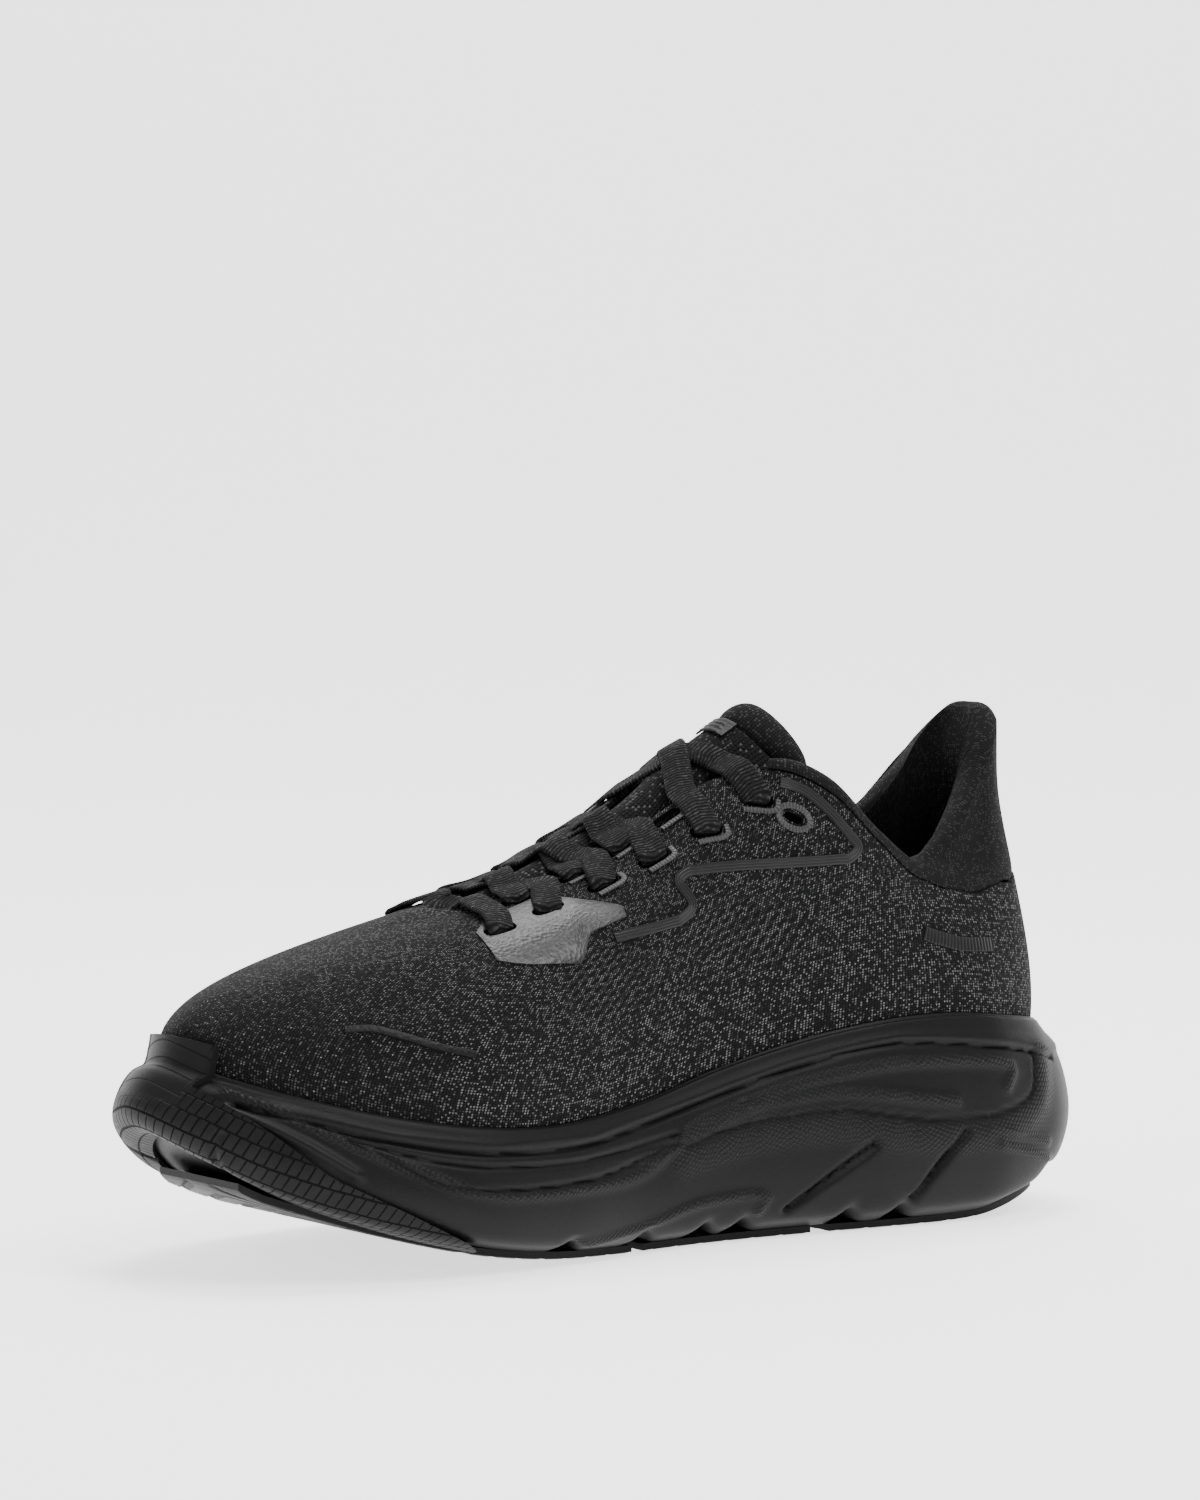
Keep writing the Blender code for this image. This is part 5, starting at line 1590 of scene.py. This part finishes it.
def build_films():
    line_look = film_look("collar film", colours().film, 0.35, lines=0.8)
    print_look = film_look("toe print", [c * 0.55 for c in colours().film], 0.45)
    mark_look = film_look("heel mark", colours().film, 0.3, lines=-1.2)
    silver = film_look("silver film", colours().silver, 0.38, 0.55)
    cutter = cutter_of(*holes(), silver)
    for name, side in SIDES.items():
        bands = (
            ("collar_film", side_path(FILM_LINE, side, 1.0), 3.0, line_look, "gloss_film"),
            ("toe_print", side_path(VAMP_STROKE, side, 1.0), 2.0, print_look, "gloss_film"),
            ("heel_mark", side_path(HEEL_BAR, side, 1.0), 4.0, mark_look, "gloss_film"),
        )
        for kind, places, width, look, slot in bands:
            skin = surface_band(places, width)
            piece = new_piece(f"{kind}_{name}_band", *skin[:2], look, places=skin[2])
            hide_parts(f"{kind}_{name}")
        rise = np.linspace(0, 1, 7)
        rows = np.array([[(x, low + (high - low) * f) for f in rise] for x, low, high in PATCH_ROWS])
        places = np.array([[on_side(x, z, side) for x, z in row] for row in rows])
        places = resample(places, 40)
        places = resample_across(places, 20)
        t, v = np.moveaxis(places, -1, 0)
        high = np.full(t.shape, FILM_GAP + FILM)
        high[0] = high[-1] = FILM_GAP + 0.6 * FILM
        high[:, 0] = high[:, -1] = FILM_GAP + 0.6 * FILM
        front = layer(t, v, high)
        vertices, faces = shell(front, layer(t, v, FILM_GAP + 0 * t))
        spread = both_faces(front)
        piece = new_piece(f"lace_patch_{name}_film", vertices, faces, silver, places=spread)
        cut(piece, cutter)
        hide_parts(f"lace_patch_{name}")
    bpy.data.objects.remove(cutter, do_unlink=True)


def build_trims():
    look = film_look("lace hole trim", colours().silver, 0.42, 0.3, -1.0)
    for name, side in SIDES.items():
        for number, (x, y) in enumerate(OUTER_HOLES[2:] + INNER_HOLES[1:], 1):
            centre, lane, across, out = hole_frame(x, y, side)
            across = across * (side * np.sign(across[1]) if abs(across[1]) > 0 else 1)
            long, wide = SLOT_LONG / 2 + 1.2, SLOT_WIDE / 2 + 1.2
            shape = [(long, -0.2), (long - 0.4, wide * 0.7)]
            shape += [(a, wide) for a in (long - 2.4, 0, 2.2 - long)]
            line = smooth_path([centre - lane * a * side + across * b for a, b in shape], 0.6)
            way = frames(line)
            skin = strip(line, np.cross(out, way), out, 1.5, FILM_GAP, FILM_GAP + FILM)
            piece = new_piece(f"eyelet_trim_{name}_{number}_hook", *skin[:2], look, places=skin[2])
            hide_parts(f"eyelet_trim_{name}_{number}")
        centre, lane, across, out = hole_frame(*SPARE_HOLE, side)
        angles = np.linspace(0, 2 * math.pi, 60, endpoint=False)
        far, wide = RING_REACH
        line = np.array([centre + lane * far * math.cos(a) + across * wide * math.sin(a) for a in angles])
        way = np.roll(line, -1, 0) - np.roll(line, 1, 0)
        way /= np.linalg.norm(way, axis=1, keepdims=True)
        skin = strip(line, np.cross(out, way), out, RING_WIDTH, FILM_GAP, FILM_GAP + FILM, closed=True)
        piece = new_piece(f"spare_eyelet_{name}_ring", *skin[:2], look, places=skin[2])
        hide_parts(f"spare_eyelet_{name}")


def build_sockliner():
    t = np.arange(TURN * 8) / 8
    bite, bed = value(BITE, t), value(FOOTBED, t)
    heel = np.clip((8.2 - np.abs((t + TOE) % TURN - TOE)) / 1.2, 0, 1)
    inset = bite + KNIT + TUCK + INSOLE_ROOM - 1.2 + heel * 2.6
    base = bed + GAP + BOARD + GAP
    levels = []
    for turn in np.radians(np.linspace(0, 180, 9)):
        levels.append((inset + 1.2 * (1 - math.sin(turn)), base + INSOLE * (1 - math.cos(turn)) / 2))
    for far in (3, 7, 12):
        levels.append((inset + far, base + INSOLE))
    rings = np.array([outline(t, place, z) for place, z in levels])
    look = cloth_look("sockliner cloth", (0.03, 0.03, 0.032), 1.0, 1.0, 0.05, (0.1, 0.1, 0.1))
    vertices, faces, places = loft(rings)
    piece = new_piece("sockliner_pad", vertices, faces, look, "sockliner", places)
    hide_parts("sockliner")


def dress(node, look):
    """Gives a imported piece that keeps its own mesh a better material."""
    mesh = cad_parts[node].data
    mesh.materials.clear()
    mesh.materials.append(look)


def build_hidden():
    board = plain_look("stitched board", (0.25, 0.25, 0.24), 0.9, 900.0, 0.1)
    stiff = plain_look("stiffener", (0.3, 0.3, 0.3), 0.6, 300.0, 0.05)
    padding = plain_look("open foam", (0.35, 0.34, 0.3), 0.95, 1500.0, 0.3)
    tape = plain_look("tape", (0.03, 0.03, 0.03), 0.6, 800.0, 0.05)
    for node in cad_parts:
        if node == "strobel_board":
            dress(node, board)
        elif node in ("heel_counter", "toe_puff"):
            dress(node, stiff)
        elif node == "collar_foam":
            dress(node, padding)
        elif node.startswith(("eyestay_tape", "tongue_gusset")):
            dress(node, tape)


# ---------------------------------------------------------------- stage

CAMERA_LOOK = (150.0, 0.0, 60.0)
CAMERA_TURN = math.radians(34.43)
CAMERA_RISE = math.radians(6.05)
CAMERA_FAR = 1.5
CAMERA_LENS = 130.4
CAMERA_SHIFT = (-0.0084, 0.178)


def build_stage():
    settings = bpy.context.scene.shoe_stage
    scene = bpy.context.scene
    glow = {"emission_color": (1, 1, 1, 1), "emission_strength": settings.glow}
    look = Shade("backdrop", settings.floor, 0.9, **glow).material
    back = Vector((math.sin(CAMERA_TURN), math.cos(CAMERA_TURN), 0))
    side = Vector((back.y, -back.x, 0))
    profile = [(1.6, 0.0)]
    profile += [(-1.4 - 0.8 * math.sin(a), 0.8 - 0.8 * math.cos(a)) for a in np.radians(np.arange(0, 91, 6))]
    profile.append((-2.2, 4.0))
    points = [back * far + side * across + Vector((0, 0, up)) for far, up in profile for across in (-5, 5)]
    mesh = bpy.data.meshes.new("backdrop")
    mesh.from_pydata(points, [], grid_faces(len(profile), 2))
    mesh.shade_smooth()
    mesh.materials.append(look)
    floor = bpy.data.objects.new("backdrop", mesh)
    scene.collection.objects.link(floor)

    world = bpy.data.worlds.new("studio")
    world.use_nodes = True
    sky = world.node_tree.nodes["Background"]
    sky.inputs["Color"].default_value = (1, 1, 1, 1)
    sky.inputs["Strength"].default_value = settings.sky
    scene.world = world

    target = Vector(np.array(CAMERA_LOOK) * SCALE * MM + SHIFT)
    lights = (
        ("main light", back * 0.7 - side * 0.9 + Vector((0, 0, 1.5)), settings.key, 1.0),
        ("fill light", back * 1.3 + side * 1.1 + Vector((0, 0, 0.8)), settings.fill, 1.2),
        ("top light", back * -0.5 + Vector((0, 0, 1.7)), settings.key, 0.9),
    )
    for name, offset, power, width in lights:
        data = bpy.data.lights.new(name, "AREA")
        data.energy = power
        data.shape = "DISK"
        data.size = width
        lamp = bpy.data.objects.new(name, data)
        lamp.location = target + offset
        lamp.rotation_euler = (-offset).to_track_quat("-Z", "Y").to_euler()
        scene.collection.objects.link(lamp)

    data = bpy.data.cameras.new("camera")
    data.lens = CAMERA_LENS
    data.sensor_width = 36.0
    data.shift_x, data.shift_y = CAMERA_SHIFT
    camera = bpy.data.objects.new("camera", data)
    level = math.cos(CAMERA_RISE)
    offset = Vector((back.x * level, back.y * level, math.sin(CAMERA_RISE)))
    camera.location = target + offset * CAMERA_FAR
    camera.rotation_euler = (-offset).to_track_quat("-Z", "Y").to_euler()
    scene.collection.objects.link(camera)
    scene.camera = camera


# ---------------------------------------------------------------- the add-on


class SHOE_OT_midsole(bpy.types.Operator):
    """Build the foam sole"""

    bl_idname = "shoe.midsole"
    bl_label = "Foam sole"

    def execute(self, context):
        build_midsole()
        return {"FINISHED"}


class SHOE_OT_toe_rubber(bpy.types.Operator):
    """Build the treaded rubber that wraps the toe"""

    bl_idname = "shoe.toe_rubber"
    bl_label = "Toe rubber"

    def execute(self, context):
        build_toe_rubber()
        return {"FINISHED"}


class SHOE_OT_outsole(bpy.types.Operator):
    """Build the rubber pads under the foam"""

    bl_idname = "shoe.outsole"
    bl_label = "Outsole pads"

    def execute(self, context):
        build_outsole()
        return {"FINISHED"}


class SHOE_OT_knit(bpy.types.Operator):
    """Build the knit upper with its lace holes"""

    bl_idname = "shoe.knit"
    bl_label = "Knit upper"

    def execute(self, context):
        build_knit()
        return {"FINISHED"}


class SHOE_OT_collar(bpy.types.Operator):
    """Build the padded lining that rolls over the collar"""

    bl_idname = "shoe.collar"
    bl_label = "Collar lining"

    def execute(self, context):
        build_collar()
        return {"FINISHED"}


class SHOE_OT_tongue(bpy.types.Operator):
    """Build the tongue, its binding and its label"""

    bl_idname = "shoe.tongue"
    bl_label = "Tongue"

    def execute(self, context):
        build_tongue()
        return {"FINISHED"}


class SHOE_OT_lace(bpy.types.Operator):
    """Build the lace and its tips"""

    bl_idname = "shoe.lace"
    bl_label = "Lace"

    def execute(self, context):
        build_lace()
        return {"FINISHED"}


class SHOE_OT_films(bpy.types.Operator):
    """Build the films, prints and patches stuck on the knit"""

    bl_idname = "shoe.films"
    bl_label = "Films and prints"

    def execute(self, context):
        build_films()
        return {"FINISHED"}


class SHOE_OT_trims(bpy.types.Operator):
    """Build the trims of the lace holes"""

    bl_idname = "shoe.trims"
    bl_label = "Lace hole trims"

    def execute(self, context):
        build_trims()
        return {"FINISHED"}


class SHOE_OT_sockliner(bpy.types.Operator):
    """Build the loose sockliner"""

    bl_idname = "shoe.sockliner"
    bl_label = "Sockliner"

    def execute(self, context):
        build_sockliner()
        return {"FINISHED"}


class SHOE_OT_hidden(bpy.types.Operator):
    """Give the hidden pieces their materials"""

    bl_idname = "shoe.hidden"
    bl_label = "Hidden pieces"

    def execute(self, context):
        build_hidden()
        return {"FINISHED"}


class SHOE_OT_stage(bpy.types.Operator):
    """Build the floor, the lights and the camera"""

    bl_idname = "shoe.stage"
    bl_label = "Stage"

    def execute(self, context):
        build_stage()
        return {"FINISHED"}


OPERATORS = (
    SHOE_OT_midsole,
    SHOE_OT_toe_rubber,
    SHOE_OT_outsole,
    SHOE_OT_knit,
    SHOE_OT_collar,
    SHOE_OT_tongue,
    SHOE_OT_lace,
    SHOE_OT_films,
    SHOE_OT_trims,
    SHOE_OT_sockliner,
    SHOE_OT_hidden,
    SHOE_OT_stage,
)


class SHOE_PT_panel(bpy.types.Panel):
    """Lists the shoe's pieces and settings"""

    bl_idname = "SHOE_PT_panel"
    bl_label = "Running shoe"
    bl_space_type = "VIEW_3D"
    bl_region_type = "UI"
    bl_category = "Shoe"

    def draw(self, context):
        for group in (context.scene.shoe_colours, context.scene.shoe_sizes, context.scene.shoe_stage):
            box = self.layout.box()
            for key in group.__annotations__:
                box.prop(group, key)
        for operator in OPERATORS:
            self.layout.operator(operator.bl_idname)


GROUPS = {"shoe_colours": ShoeColours, "shoe_sizes": ShoeSizes, "shoe_stage": ShoeStage}


def register():
    for key, group in GROUPS.items():
        bpy.utils.register_class(group)
        setattr(bpy.types.Scene, key, PointerProperty(type=group))
    for operator in OPERATORS:
        bpy.utils.register_class(operator)
    bpy.utils.register_class(SHOE_PT_panel)


def unregister():
    bpy.utils.unregister_class(SHOE_PT_panel)
    for operator in reversed(OPERATORS):
        bpy.utils.unregister_class(operator)
    for key, group in GROUPS.items():
        delattr(bpy.types.Scene, key)
        bpy.utils.unregister_class(group)


def main():
    register()
    for operator in OPERATORS:
        getattr(bpy.ops.shoe, operator.bl_idname.split(".")[1])()


if __name__ == "__main__":
    main()
